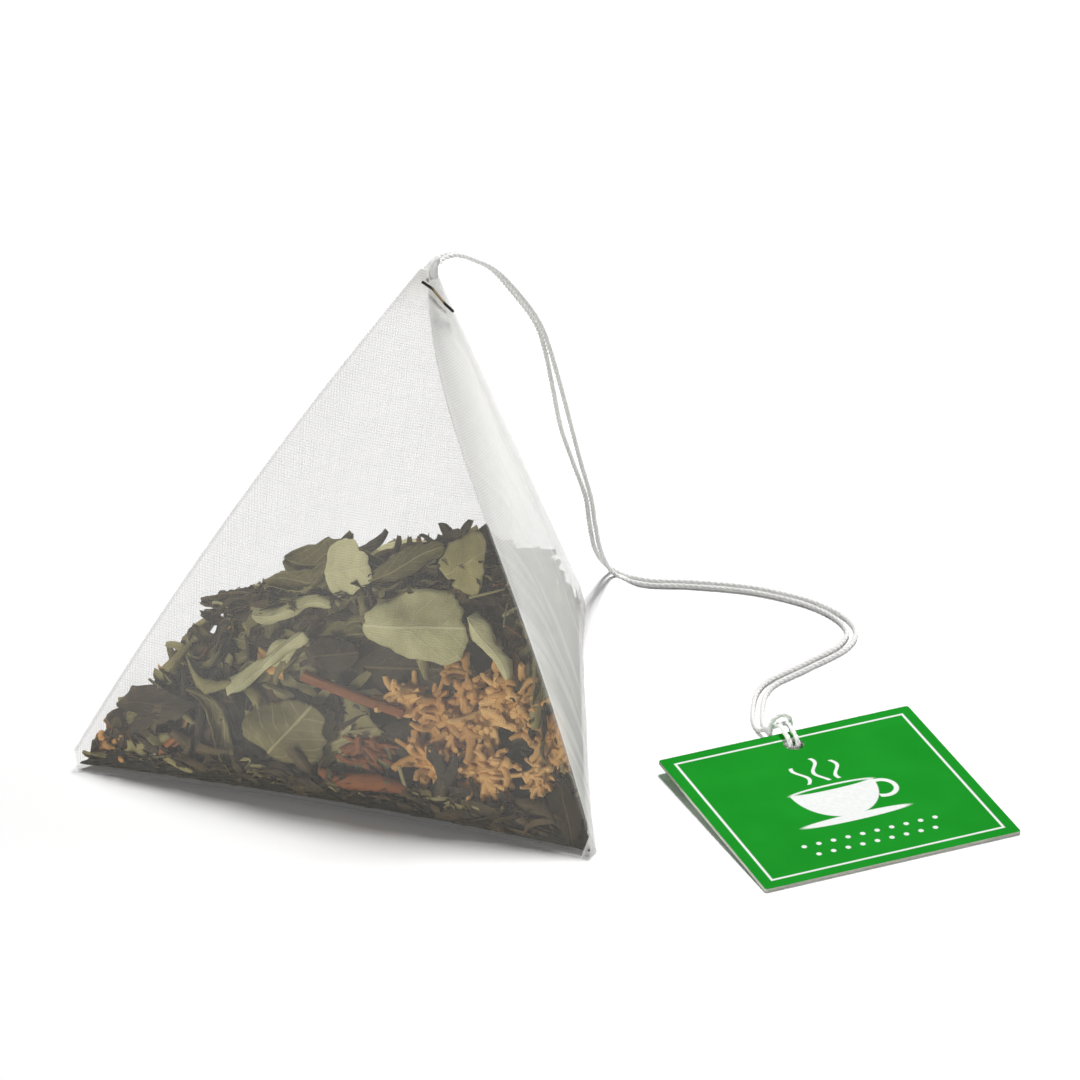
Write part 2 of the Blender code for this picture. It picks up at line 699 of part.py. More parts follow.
def make_tag():
    along, back, up, hole = tag_frame()
    turn = Matrix((along, back, up)).transposed().to_4x4()
    middle = hole + back * (HOLE_INSET - TAG_DEPTH / 2) - up * TAG_CARD / 2
    bm = bmesh.new()
    bmesh.ops.create_cube(bm, size=1)
    bmesh.ops.scale(bm, verts=bm.verts, vec=(TAG_WIDTH, TAG_DEPTH, TAG_CARD))
    tag = add_object("tag", bm, smooth=False)
    tag.matrix_world = Matrix.Translation(middle) @ turn
    paint(tag, "green_card", (0.013, 0.283, 0.02), 0.45)
    bm = bmesh.new()
    radius = TAG_HOLE / 2
    bmesh.ops.create_cone(
        bm, cap_ends=True, segments=20, radius1=radius, radius2=radius, depth=TAG_CARD * 4
    )
    punch = add_object("tag_hole_punch", bm, smooth=False)
    punch.matrix_world = Matrix.Translation(hole) @ turn
    punch.hide_render = True
    punch.display_type = "WIRE"
    cut = tag.modifiers.new("Hole", "BOOLEAN")
    cut.object = punch
    return tag


def hitch_points():
    """One half of the hitch: over the card, down its hole, out under its back edge and up again."""
    along, back, up, hole = tag_frame()
    half = (THREAD + THREAD_GAP) / 2
    lie = THREAD / 2 + THREAD_GAP
    edge = HOLE_INSET
    route = (
        (half, edge + 0.6 * MM, lie + 0.1 * MM),
        (half, edge * 0.45, lie + 0.1 * MM),
        (half, 0.1 * MM, lie * 0.55),
        (half, -0.2 * MM, -TAG_CARD / 2),
        (half, 0.1 * MM, -TAG_CARD - lie * 0.55),
        (half * 1.3, edge * 0.45, -TAG_CARD - lie),
        (half * 2.5, edge + 0.2 * MM, -TAG_CARD - lie),
        (half * 2.7, edge + 0.8 * MM, -TAG_CARD * 0.3),
        (half * 2.3, edge + 0.85 * MM, lie + 0.45 * MM),
        (0.0, edge + 0.85 * MM, lie + 0.1 * MM + THREAD + THREAD_GAP * 1.2),
    )
    return [(across, hole + back * y + up * z) for across, y, z in route], along


def make_thread(corners, walls):
    """One thread laid double: from the tip to the tag, round its hole, and back to the tip."""
    tip = soft(walls, corners["tip"]) - Vector((0, 0, TIP_CUT))
    table = THREAD / 2 + 0.05 * MM
    centre = [(Vector(at[:3]) * MM + tip, at[3] * MM) for at in FALL_ROUTE]
    centre += [(Vector((x * MM, y * MM, table)), apart * MM) for x, y, apart in TABLE_ROUTE]
    hitch, along = hitch_points()
    strands = []
    for side in (1, -1):
        strand = []
        for index, (point, apart) in enumerate(centre):
            before = centre[max(index - 1, 0)][0]
            after = centre[index + 1][0] if index + 1 < len(centre) else hitch[0][1]
            heading = (after - before).to_2d().normalized()
            across = Vector((heading.y, -heading.x, 0))
            strand.append(point - across * side * apart / 2)
        strand += [point + along * across * side for across, point in hitch]
        strands.append(strand)
    loop = strands[0] + strands[1][-2::-1]
    thread = add_tube("thread", through(loop), THREAD)
    paint(thread, "white_cotton", (0.85, 0.85, 0.83), 0.9)
    return thread


def main():
    for obj in list(bpy.data.objects):
        bpy.data.objects.remove(obj)
    corners = place_corners()
    walls = make_walls(corners)
    make_pouch(corners, walls)
    make_tea(corners, walls)
    make_wire(walls)
    make_tag()
    make_thread(corners, walls)


main()
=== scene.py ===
import math
import random

import bmesh
import bpy
from mathutils import Matrix, Vector, noise


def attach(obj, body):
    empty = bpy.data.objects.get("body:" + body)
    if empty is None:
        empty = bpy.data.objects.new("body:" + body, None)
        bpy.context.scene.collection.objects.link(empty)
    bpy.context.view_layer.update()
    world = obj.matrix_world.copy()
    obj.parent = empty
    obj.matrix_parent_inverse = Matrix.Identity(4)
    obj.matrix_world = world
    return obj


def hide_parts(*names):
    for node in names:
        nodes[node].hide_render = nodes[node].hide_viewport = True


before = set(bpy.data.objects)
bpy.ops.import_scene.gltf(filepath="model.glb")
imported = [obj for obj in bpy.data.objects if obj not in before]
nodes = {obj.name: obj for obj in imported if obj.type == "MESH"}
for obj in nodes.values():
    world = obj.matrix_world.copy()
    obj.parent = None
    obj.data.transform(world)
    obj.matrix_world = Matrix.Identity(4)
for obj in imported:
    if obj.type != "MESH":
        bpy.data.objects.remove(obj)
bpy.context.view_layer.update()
mm = 0.001
print("frame loaded:", len(nodes), "CAD nodes")


# Shader maths: a wrapped socket turns plain expressions into Math nodes
class Value:
    def __init__(self, paint, socket):
        self.paint, self.socket = paint, socket

    def maths(self, operation, *inputs):
        return self.paint.node("ShaderNodeMath", {"operation": operation}, dict(enumerate(inputs)))

    def __rsub__(self, other):
        return self.maths("SUBTRACT", other, self)

    def between(self, low, high):
        # 0 below low and 1 above high, or the other way round where low is the larger
        values = {"Value": self, "From Min": low, "From Max": high}
        return self.paint.node("ShaderNodeMapRange", {"interpolation_type": "SMOOTHSTEP"}, values)


operations = {
    "__add__": "ADD", "__radd__": "ADD", "__sub__": "SUBTRACT", "__mul__": "MULTIPLY",
    "__rmul__": "MULTIPLY", "__truediv__": "DIVIDE", "__pow__": "POWER", "sine": "SINE",
    "size": "ABSOLUTE", "least": "MINIMUM", "most": "MAXIMUM", "fraction": "FRACT",
}
for name, each in operations.items():
    setattr(Value, name, lambda self, *others, each=each: self.maths(each, self, *others))


# One material, or the world, and the few ways in which its nodes are made
class Paint:
    def __init__(self, name, home=bpy.data.materials, shader="Principled BSDF"):
        self.material = home.new(name)
        self.material.use_nodes = True
        self.tree = self.material.node_tree
        self.shader = self.tree.nodes[shader]

    def feed(self, socket, value):
        if isinstance(value, Value):
            self.tree.links.new(value.socket, socket)
        elif isinstance(value, tuple) and len(value) == 3 and socket.type == "RGBA":
            socket.default_value = (*value, 1)
        else:
            socket.default_value = value

    def node(self, kind, settings, values, give=0):
        made = self.tree.nodes.new(kind)
        for name, setting in settings.items():
            if name == "stops":
                ramp = made.color_ramp
                while len(ramp.elements) < len(setting):
                    ramp.elements.new(0.5)
                for element, (place, colour) in zip(ramp.elements, setting):
                    element.position = place
                    element.color = (*colour, 1)
            else:
                setattr(made, name, setting)
        for name, value in values.items():
            self.feed(made.inputs[name], value)
        return Value(self, made.outputs[give])

    def set(self, **values):
        for name, value in values.items():
            self.feed(self.shader.inputs[name.replace("_", " ")], value)
        return self

    def place(self):
        return self.node("ShaderNodeTexCoord", {}, {}, give="Object")

    def flat(self, name):
        return self.node("ShaderNodeUVMap", {"uv_map": name}, {})

    def attribute(self, name, give="Fac"):
        return self.node("ShaderNodeAttribute", {"attribute_name": name}, {}, give=give)

    def ray(self, kind):
        return self.node("ShaderNodeLightPath", {}, {}, give=f"Is {kind} Ray")

    def range(self, value, low, high):
        return self.node("ShaderNodeMapRange", {}, {"Value": value, "To Min": low, "To Max": high})

    def split(self, vector):
        made = self.node("ShaderNodeSeparateXYZ", {}, {0: vector})
        outputs = made.socket.node.outputs
        return [Value(self, outputs[axis]) for axis in range(3)]

    def join(self, x, y, z):
        return self.node("ShaderNodeCombineXYZ", {}, {0: x, 1: y, 2: z})

    def stretch(self, vector, scale):
        return self.node("ShaderNodeVectorMath", {"operation": "MULTIPLY"}, {0: vector, 1: scale})

    def cloud(self, vector, scale, detail=3.0, rough=0.55):
        values = {"Vector": vector, "Scale": scale, "Detail": detail, "Roughness": rough}
        return self.node("ShaderNodeTexNoise", {}, values)

    def cells(self, vector, scale, feature="DISTANCE_TO_EDGE"):
        return self.node("ShaderNodeTexVoronoi", {"feature": feature}, {"Vector": vector, "Scale": scale})

    def ramp(self, value, *stops):
        return self.node("ShaderNodeValToRGB", {"stops": stops}, {0: value})

    def blend(self, share, first, second):
        return self.node("ShaderNodeMix", {"data_type": "RGBA"}, {0: share, 6: first, 7: second}, give=2)

    def bump(self, height, distance, strength=1.0):
        values = {"Height": height, "Distance": distance, "Strength": strength}
        self.set(Normal=self.node("ShaderNodeBump", {}, values))
        return self


def toMesh(name, bm):
    mesh = bpy.data.meshes.new(name)
    bm.to_mesh(mesh)
    bm.free()
    return mesh


def toScene(name, data):
    made = bpy.data.objects.new(name, data)
    bpy.context.scene.collection.objects.link(made)
    return made


def takePiece(name, bm, paint, angle):
    # turns a bmesh into a finished piece that rides on the model's only body
    mesh = toMesh(name, bm)
    mesh.shade_smooth()
    mesh.set_sharp_from_angle(angle=math.radians(angle))
    mesh.materials.append(paint.material)
    piece = toScene(name, mesh)
    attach(piece, "root")
    return piece


def addTo(whole, mesh):
    # adds a mesh to a bmesh and removes it
    whole.from_mesh(mesh)
    bpy.data.meshes.remove(mesh)


def edgesAlong(bm, axis, least):
    # the edges that reach further than least along an axis
    return [edge for edge in bm.edges if abs(edge.verts[0].co[axis] - edge.verts[1].co[axis]) > least]


def lump(spot, large, small, share):
    # wide lumps with smaller ones on them, the sizes in millimetres
    return noise.noise(spot / (large * mm)) + share * noise.noise(spot / (small * mm))


def moveAll(bm, placeOf):
    # moves every vertex, but works out all the places first
    bm.normal_update()
    places = [placeOf(vert) for vert in bm.verts]
    for vert, place in zip(bm.verts, places):
        vert.co = place


# Camera and light: the aim and the distance are in millimetres
view = {
    "aim": (20.65, 40.27, 0.0),
    "away": 700.0,
    "elevation": 28.25,
    "lens": 217.1,
    "sky": 0.06,
    "floorShade": 1.07,
    "floorBounce": 0.8,
    # power, size, place and target, in watts and metres: the key and side lamps stand low, so that
    # they light the upright sides and hardly the floor
    "lamps": {
        "keyLamp": (3.5, 0.14, (-0.46, -0.56, 0.072), (0.01, 0, 0.02)),
        "sideLamp": (1.4, 0.2, (0.6, 0.1, 0.16), (0.01, 0, 0.02)),
        "backLamp": (3.8, 0.12, (0.075, 0.242, 0.6), (0.01, 0, 0.0)),
    },
}


def makeCamera():
    rise = math.radians(view["elevation"])
    forward = Vector((0, math.cos(rise), -math.sin(rise)))
    camera = bpy.data.cameras.new("photoCamera")
    camera.lens = view["lens"]
    camera.sensor_width = 36
    camera.clip_start, camera.clip_end = 0.01, 20
    holder = toScene("photoCamera", camera)
    holder.location = Vector(view["aim"]) * mm - forward * view["away"] * mm
    holder.rotation_euler = (math.pi / 2 - rise, 0, 0)
    bpy.context.scene.camera = holder


def makeLamp(name, power, size, place, target):
    lamp = bpy.data.lights.new(name, "AREA")
    lamp.energy, lamp.size = power, size
    holder = toScene(name, lamp)
    holder.location = place
    holder.rotation_euler = (Vector(target) - Vector(place)).to_track_quat("-Z", "Y").to_euler()


def makeStudio():
    sky = Paint("studio", bpy.data.worlds, "Background")
    bpy.context.scene.world = sky.material
    seen = sky.ray("Camera").most(sky.ray("Transmission"))
    sky.set(Strength=sky.range(seen, view["sky"], 1.0), Color=(1, 1, 1))
    for name, values in view["lamps"].items():
        makeLamp(name, *values)

    paint = Paint("whiteFloor")
    shade = paint.range(paint.ray("Camera"), view["floorBounce"], view["floorShade"])
    colour = paint.node("ShaderNodeCombineColor", {}, {0: shade, 1: shade, 2: shade})
    diffuse = paint.node("ShaderNodeBsdfDiffuse", {}, {"Color": colour})
    paint.feed(paint.tree.nodes["Material Output"].inputs["Surface"], diffuse)
    bm = bmesh.new()
    bmesh.ops.create_grid(bm, x_segments=1, y_segments=1, size=3)
    floor = toScene("floor", toMesh("floor", bm))
    floor.data.materials.append(paint.material)


makeCamera()
makeStudio()
bpy.context.scene.cycles.transparent_max_bounces = 32
bpy.context.scene.view_settings.view_transform = "Standard"
print("camera and studio made")

# The relaxed pyramid, as the CAD source lays it out, in millimetres
pouch = {
    "corners": {
        "left": (-27.5531, -8.6394, 0.0),
        "right": (26.4065, -26.694, 0.0),
        "back": (25.6055, 27.0, 0.0),
        "tip": (9.853, 0.4222, 53.0),
    },
    "crowns": {"front": 2.4, "right": 1.2, "rear": 2.4, "base": 0.0},
    "baseDraw": 1.1,
    "leftDraw": -1.4,
    "ridgeSwing": 3.0,
    "edgeReach": 6.0,
    "cornerCut": 1.5,
    "tipCut": 1.3,
    "panels": 52,
    "cloth": 0.08,
    "wrinkle": 0.16,
    "threadPitch": 0.26,
    # the grey of the plain weave is painted shade on its thin strands; closer cloth turns to the white of
    # closeCloth
    "shadedPlainCloth": (0.52, 0.505, 0.475),
    "closeCloth": (0.93, 0.925, 0.9),
    # how much closer each wall's cloth is: the right wall's closer, whiter cloth is partly painted light,
    # for the light that comes through it from behind
    "density": {"front": 0.0, "right": 0.6, "rear": 0.02, "base": 0.0},
}
corners = {name: Vector(place) * mm for name, place in pouch["corners"].items()}
wallCorners = {
    "front": ("left", "right", "tip"),
    "right": ("right", "back", "tip"),
    "rear": ("back", "left", "tip"),
    "base": ("right", "left", "back"),
}


class Wall:
    def __init__(self, name, names):
        start, end, top = (corners[each] for each in names)
        (self.opposite,) = set(corners) - set(names)
        self.start = start
        self.crown = pouch["crowns"][name] * mm
        self.width = (end - start).length
        self.along = (end - start).normalized()
        self.up = (top - start - self.along * (top - start).dot(self.along)).normalized()
        self.normal = self.along.cross(self.up)
        self.slant = (top - start).dot(self.up)
        self.topAlong = (top - start).dot(self.along)
        self.reach = (start - corners[self.opposite]).dot(self.normal)

    def point(self, along, up, depth=0.0):
        return self.start + self.along * along + self.up * up - self.normal * depth

    def depth(self, point):
        return (self.start - point).dot(self.normal)

    def flat(self, point):
        return (point - self.start).dot(self.along), (point - self.start).dot(self.up)

    def span(self, up, inset):
        leftSlope = self.topAlong / self.slant
        rightSlope = (self.width - self.topAlong) / self.slant
        start = up * leftSlope + inset * math.hypot(1, leftSlope)
        return start, self.width - up * rightSlope - inset * math.hypot(1, rightSlope)


walls = {name: Wall(name, names) for name, names in wallCorners.items()}
facing = {wall.opposite: wall for wall in walls.values()}


def relax(point):
    # where a point of the straight pyramid lies once the cloth has relaxed
    share = {name: wall.depth(point) / wall.reach for name, wall in facing.items()}
    moved = point.copy()
    for name, wall in facing.items():
        others = math.prod(share[other] for other in share if other != name)
        # 27 makes this 1 in the middle of the wall
        moved += wall.normal * wall.crown * 27 * others

    def nearEdge(first, second):
        away = sum(share[name] * wall.reach for name, wall in facing.items() if name not in (first, second))
        near = max(0.0, 1 - abs(away) / (pouch["edgeReach"] * mm))
        return near**2 * 4 * share[first] * share[second]

    for first, second, draw in (
        ("left", "right", "baseDraw"),
        ("right", "back", "baseDraw"),
        ("back", "left", "baseDraw"),
        ("left", "tip", "leftDraw"),
    ):
        near = nearEdge(first, second)
        if near:
            normals = [wall.normal for name, wall in facing.items() if name not in (first, second)]
            moved -= sum(normals, Vector()).normalized() * pouch[draw] * mm * near
    swing = nearEdge("right", "tip") * share["tip"] ** 2 * 2
    return moved - walls["front"].along * pouch["ridgeSwing"] * mm * swing


def cutTip():
    return relax(corners["tip"]) - Vector((0, 0, pouch["tipCut"])) * mm


def cutOff(bm, point, normal):
    geom = bm.verts[:] + bm.edges[:] + bm.faces[:]
    cut = bmesh.ops.bisect_plane(
        bm, geom=geom, dist=1e-8, plane_co=point, plane_no=normal, clear_outer=True
    )
    edges = [item for item in cut["geom_cut"] if isinstance(item, bmesh.types.BMEdge)]
    bmesh.ops.holes_fill(bm, edges=edges)
    bmesh.ops.recalc_face_normals(bm, faces=bm.faces)


# The doubled thread: the middle of the pair, and how far apart the two strands run, in millimetres
thread = {
    "diameter": 0.5,
    "gap": 0.35,
    "lift": 0.05,
    "fall": (
        (0.6, 0.3, 0.6, 0.85),
        (1.3, 1.5, 0.6, 0.85),
        (2.5, 2.8, 0.2, 0.85),
        (4.1, 4.6, -1.2, 0.85),
        (6.3, 7.0, -3.6, 0.95),
        (8.7, 9.6, -7.8, 1.4),
        (10.5, 11.6, -11.6, 0.85),
        (11.5, 13.4, -15.4, 0.85),
        (12.6, 16.4, -21.8, 1.3),
        (13.5, 19.2, -27.5, 1.7),
        (14.6, 21.6, -32.7, 1.3),
        (15.8, 24.2, -38.1, 0.85),
        (16.3, 26.6, -42.7, 0.85),
        (17.0, 29.0, -47.3, 0.85),
    ),
    "table": (
        (28.5, 32.6, 1.35),
        (31.8, 30.3, 1.35),
        (37.1, 29.8, 1.35),
        (43.7, 28.4, 1.35),
        (49.8, 25.1, 1.35),
        (53.0, 20.7, 1.35),
        (52.4, 16.5, 1.35),
        (48.2, 12.1, 1.35),
        (44.0, 7.8, 1.35),
        (42.9, 2.4, 1.35),
        (43.3, -1.0, 1.2),
    ),
    "closer": 0.72,
    "step": 0.2,
    "plyTurn": 1.3,
    "plyRadius": 0.19,
    "plyOffset": 0.085,
}
tag = {
    "width": 28.0,
    "depth": 25.4,
    "card": 0.4,
    "corner": 0.25,
    "softEdge": 0.05,
    "turn": 23.5,
    "lift": 0.95,
    "hole": 2.1,
    "holeInset": 2.3,
    "holeAt": (46.3, -5.8, 0.0),
}


def tagFrame():
    turn = math.radians(tag["turn"])
    along = Vector((math.cos(turn), math.sin(turn), 0))
    rise = math.asin(tag["lift"] / (tag["depth"] - tag["holeInset"]))
    level = Vector((-math.sin(turn), math.cos(turn), 0))
    back = level * math.cos(rise) + Vector((0, 0, math.sin(rise)))
    up = along.cross(back)
    hole = (Vector(tag["holeAt"]) + Vector((0, 0, tag["lift"])) + up * tag["card"]) * mm
    return along, back, up, hole


def hitchPoints():
    # one half of the hitch: over the card, down its hole, out under its back edge and up again
    along, back, up, hole = tagFrame()
    half = (thread["diameter"] + thread["gap"]) / 2
    lie = thread["diameter"] / 2 + thread["gap"]
    edge, card = tag["holeInset"], tag["card"]
    route = (
        (half, edge + 0.6, lie + 0.1),
        (half, edge * 0.45, lie + 0.1),
        (half, 0.1, lie * 0.55),
        (half, -0.2, -card / 2),
        (half, 0.1, -card - lie * 0.55),
        (half * 1.3, edge * 0.45, -card - lie),
        (half * 2.5, edge + 0.2, -card - lie),
        (half * 2.7, edge + 0.8, -card * 0.3),
        (half * 2.3, edge + 0.85, lie + 0.45),
        (0.0, edge + 0.85, lie + 0.1 + thread["diameter"] + thread["gap"] * 1.2),
    )
    return [(across * mm, hole + (back * y + up * z) * mm) for across, y, z in route], along


def threadLoop():
    tip = cutTip()
    table = thread["diameter"] / 2 + thread["lift"]
    centre = [(Vector(at[:3]) * mm + tip, at[3] * mm) for at in thread["fall"]]
    centre += [(Vector((x, y, table)) * mm, apart * mm) for x, y, apart in thread["table"]]
    hitch, along = hitchPoints()
    strands = []
    for side in (1, -1):
        strand = []
        for index, (point, apart) in enumerate(centre):
            before = centre[max(index - 1, 0)][0]
            after = centre[index + 1][0] if index + 1 < len(centre) else hitch[0][1]
            heading = (after - before).to_2d().normalized()
            across = Vector((heading.y, -heading.x, 0))
            strand.append(point - across * side * apart * thread["closer"] / 2)
        strand += [point + along * across * side for across, point in hitch]
        strands.append(strand)
    return strands[0] + strands[1][-2::-1]


def smoothThrough(points, step):
    # a smooth curve through the points, read again at even steps
    ends = [points[0] * 2 - points[1], *points, points[-1] * 2 - points[-2]]
    fine = []
    for a, b, c, d in zip(ends, ends[1:], ends[2:], ends[3:]):
        count = max(2, round((c - b).length / step))
        for number in range(count):
            t = number / count
            fine.append(
                (b * 2 + (c - a) * t + (a * 2 - b * 5 + c * 4 - d) * t**2
                 + (b * 3 - a - c * 3 + d) * t**3) / 2
            )
    return [*fine, points[-1]]


def makeThread(paint):
    path = smoothThrough(threadLoop(), thread["step"] * mm)
    length = sum((b - a).length for a, b in zip(path, path[1:]))
    whole = bmesh.new()
    for ply in (0, math.pi):
        curve = bpy.data.curves.new("ply", "CURVE")
        curve.dimensions = "3D"
        curve.bevel_depth = thread["plyRadius"] * mm
        curve.bevel_resolution = 1
        curve.use_fill_caps = True
        spline = curve.splines.new("POLY")
        spline.points.add(len(path) - 1)
        side = Vector((0, 0, 1))
        gone = 0.0
        for index, point in enumerate(path):
            ahead = path[min(index + 1, len(path) - 1)] - path[max(index - 1, 0)]
            ahead.normalize()
            side = (side - ahead * side.dot(ahead)).normalized()
            other = ahead.cross(side)
            if index:
                gone += (point - path[index - 1]).length
            angle = ply + gone / mm / thread["plyTurn"] * math.tau
            sway = 1 + 0.25 * noise.noise(Vector((gone / mm * 0.7, ply, 0)))
            turned = side * math.cos(angle) + other * math.sin(angle)
            spline.points[index].co = (*(point + turned * thread["plyOffset"] * mm * sway), 1)
            spline.points[index].radius = 1 + 0.12 * noise.noise(Vector((gone / mm * 2.3, ply, 7)))
        holder = bpy.data.objects.new("ply", curve)
        addTo(whole, bpy.data.meshes.new_from_object(holder))
        bpy.data.curves.remove(curve)
    bmesh.ops.recalc_face_normals(whole, faces=whole.faces)
    piece = takePiece("cottonThread", whole, paint, angle=75)
    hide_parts("thread")
    return piece, path, length


def cottonPaint():
    paint = Paint("whiteCotton")
    place = paint.place()
    fibre = paint.cloud(paint.stretch(place, (9000.0, 9000.0, 9000.0)), 1.0, detail=2.0)
    patch = paint.cloud(place, 260.0, detail=2.0)
    colour = paint.blend(fibre.between(0.3, 0.75), (0.92, 0.915, 0.89), (0.98, 0.98, 0.965))
    paint.set(Base_Color=paint.blend(patch.between(0.45, 0.9) * 0.35, colour, (0.88, 0.87, 0.84)))
    paint.set(Roughness=0.85, Sheen_Weight=0.3, Sheen_Roughness=0.4)
    return paint.bump(fibre, 0.04 * mm, 0.5)


threadPiece, threadPath, threadLength = makeThread(cottonPaint())
print("thread laid:", round(threadLength * 1000, 1), "mm")


# The card tag with its white print, which is a generic one: a cup with steam inside a thin frame,
# and rows of dots. The numbers are millimetres from the middle of the card
def greenPaint():
    paint = Paint("greenPrint")
    across, along, _ = paint.split(paint.flat("print"))
    soft = 0.06

    def inside(distance):
        return distance.between(soft, -soft)

    def length(x, y):
        return (x * x + y * y) ** 0.5

    x, y = across, along - 1.6
    cup = inside((length(x / 4.6, y / 5.4) - 1) * 4) * inside(y)
    lip = inside((length(x / 4.6, y / 0.62) - 1) * 0.6)
    cut = inside((length(x / 3.9, y / 0.34) - 1) * 0.35)
    saucer = inside((length(x / 5.9, (y + 5.75) / 0.6) - 1) * 0.6)
    handle = inside((length(x - 4.7, y + 1.9) - 1.45).size() - 0.26) * inside(3.9 - x)
    edge = (across.size() - 12.7).most(along.size() - 11.4)
    border = inside(edge.size() - 0.13)
    ink = (cup * (1 - cut)).most(lip * (1 - cut)).most(saucer).most(handle).most(border)
    for start, high in ((-1.9, 3.6), (0.0, 4.6), (1.9, 3.6)):
        line = (x - start - (y * 1.55 + start).sine() * 0.5).size()
        ink = ink.most(inside(line - 0.2) * inside(y - 1.1 - high) * inside(1.3 - y))
    for height, first in ((-7.2, 0.0), (-8.9, 0.5)):
        spaced = (across / 1.6 + first).fraction() - 0.5
        ink = ink.most(inside(length(spaced * 1.6, along - height) - 0.27) * inside(across.size() - 7.6))
    place = paint.place()
    fibre = paint.cloud(place, 2600.0, detail=3.0)
    mottle = paint.cloud(place, 160.0, detail=2.0)
    green = paint.blend(mottle.between(0.3, 0.8), (0.005, 0.275, 0.014), (0.008, 0.305, 0.018))
    white = paint.blend(fibre.between(0.3, 0.8), (0.84, 0.86, 0.84), (0.93, 0.94, 0.92))
    paint.set(Base_Color=paint.blend(ink, green, white), Roughness=0.62 + fibre * 0.12)
    paint.set(Specular_IOR_Level=0.06)
    return paint.bump(fibre + ink * 0.4, 0.012 * mm, 0.5)


def cardEdgePaint():
    paint = Paint("cardEdge")
    place = paint.place()
    layer = paint.cloud(paint.stretch(place, (400.0, 400.0, 9000.0)), 1.0, detail=3.0)
    paint.set(Base_Color=paint.ramp(layer, (0.25, (0.34, 0.35, 0.29)), (0.75, (0.62, 0.62, 0.55))))
    return paint.set(Roughness=0.85).bump(layer, 0.03 * mm, 0.6)


def bakeModifiers(piece):
    graph = bpy.context.evaluated_depsgraph_get()
    mesh = bpy.data.meshes.new_from_object(piece.evaluated_get(graph))
    old = piece.data
    piece.modifiers.clear()
    piece.data = mesh
    bpy.data.meshes.remove(old)
    mesh.name = piece.name


def makeTag():
    along, back, up, hole = tagFrame()
    turn = Matrix((along, back, up)).transposed().to_4x4()
    middle = hole + (back * (tag["holeInset"] - tag["depth"] / 2) - up * tag["card"] / 2) * mm
    bm = bmesh.new()
    bmesh.ops.create_cube(bm, size=1)
    bmesh.ops.scale(bm, verts=bm.verts, vec=(tag["width"] * mm, tag["depth"] * mm, tag["card"] * mm))
    bmesh.ops.bevel(
        bm, geom=edgesAlong(bm, 2, 1e-5), offset=tag["corner"] * mm, offset_type="OFFSET",
        segments=3, profile=0.5, affect="EDGES", material=-1,
    )
    card = toScene("printedTag", toMesh("printedTag", bm))
    bm = bmesh.new()
    radius = tag["hole"] / 2 * mm
    bmesh.ops.create_cone(bm, cap_ends=True, segments=40, radius1=radius, radius2=radius, depth=2 * mm)
    bmesh.ops.translate(bm, verts=bm.verts, vec=(0, (tag["depth"] / 2 - tag["holeInset"]) * mm, 0))
    punch = toScene("punch", toMesh("punch", bm))
    cut = card.modifiers.new("Hole", "BOOLEAN")
    cut.object = punch
    rounded = card.modifiers.new("Soft edge", "BEVEL")
    rounded.width = tag["softEdge"] * mm
    rounded.segments = 2
    rounded.limit_method = "ANGLE"
    bpy.context.view_layer.update()
    bakeModifiers(card)
    bpy.data.objects.remove(punch)
    mesh = card.data
    layer = mesh.uv_layers.new(name="print")
    for face in mesh.polygons:
        face.material_index = 1 if abs(face.normal.z) < 0.6 else 0
        for loop in face.loop_indices:
            spot = mesh.vertices[mesh.loops[loop].vertex_index].co
            layer.data[loop].uv = (spot.x / mm, spot.y / mm)
    mesh.transform(Matrix.Translation(middle) @ turn)
    mesh.materials.append(greenPaint().material)
    mesh.materials.append(cardEdgePaint().material)
    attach(card, "root")
    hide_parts("tag")
    return card


card = makeTag()
print("tag printed")


# The pouch of nylon mesh
def clothPaint():
    paint = Paint("nylonMesh")
    u, v, _ = paint.split(paint.flat("weave"))
    edge = paint.split(paint.attribute("away", give="Vector"))[0]
    extra = paint.attribute("closeness")
    pitch = pouch["threadPitch"]

    def threads(across, run):
        # one set of threads, with thickness that wanders along each thread
        lanes = paint.cloud(paint.join(across * 1.9, run * 0.09, 0.0), 1.0, detail=3.0, rough=0.7)
        wave = (across * (math.tau / pitch)).sine() * 0.5 + 0.5
        return wave.between(0.35, 0.85) * (0.1 + lanes * 1.8)

    weave = threads(u, v).most(threads(v, u))
    fold = paint.cloud(paint.join(u * 0.42 + v * 0.1, v * 0.035, 3.0), 1.0, detail=2.0).between(0.5, 0.64)
    creased = fold * extra.between(0.2, 0.4)
    ridge = edge.between(0.5, 0.12)
    mottle = paint.cloud(paint.join(u, v, 0.0), 0.14, detail=3.0)
    # closer cloth is more opaque and whiter, and the plain weave keeps the grey of painted shade
    close = extra * (edge.between(4.0, 0.4) * 0.3 + 1.0) + ridge * 0.22 + creased * 0.16
    opacity = weave * (0.055 + close * 0.05) + 0.045 + close * 0.48 + mottle * 0.02
    paint.set(Alpha=opacity.least(1.0))
    paint.set(Base_Color=paint.blend(close.between(0.05, 0.5), pouch["shadedPlainCloth"], pouch["closeCloth"]))
    paint.set(Roughness=0.5, Sheen_Weight=0.2)
    paint.bump(weave * 0.4 + fold, 0.03 * mm, 0.4)
    return paint


def clothDensityAndShade(name, point):
    # how much closer the cloth is, above its plain weave, at a point of a wall, with painted shade at the
    # foot of the front wall
    wall = walls[name]
    upShare = point.z / corners["tip"].z
    density = pouch["density"][name] * (0.62 + 1.3 * upShare)
    if name == "front":
        # painted shade: the veil at the foot of the front wall is thinned, so that the foot shows dark, as
        # in shade
        density -= 0.09 * max(0.0, 1 - upShare / 0.16)
    fold = max(0.0, (upShare - 0.9) / 0.07)
    return min(1.2, density + 0.08 * upShare + 0.8 * min(1.0, fold))


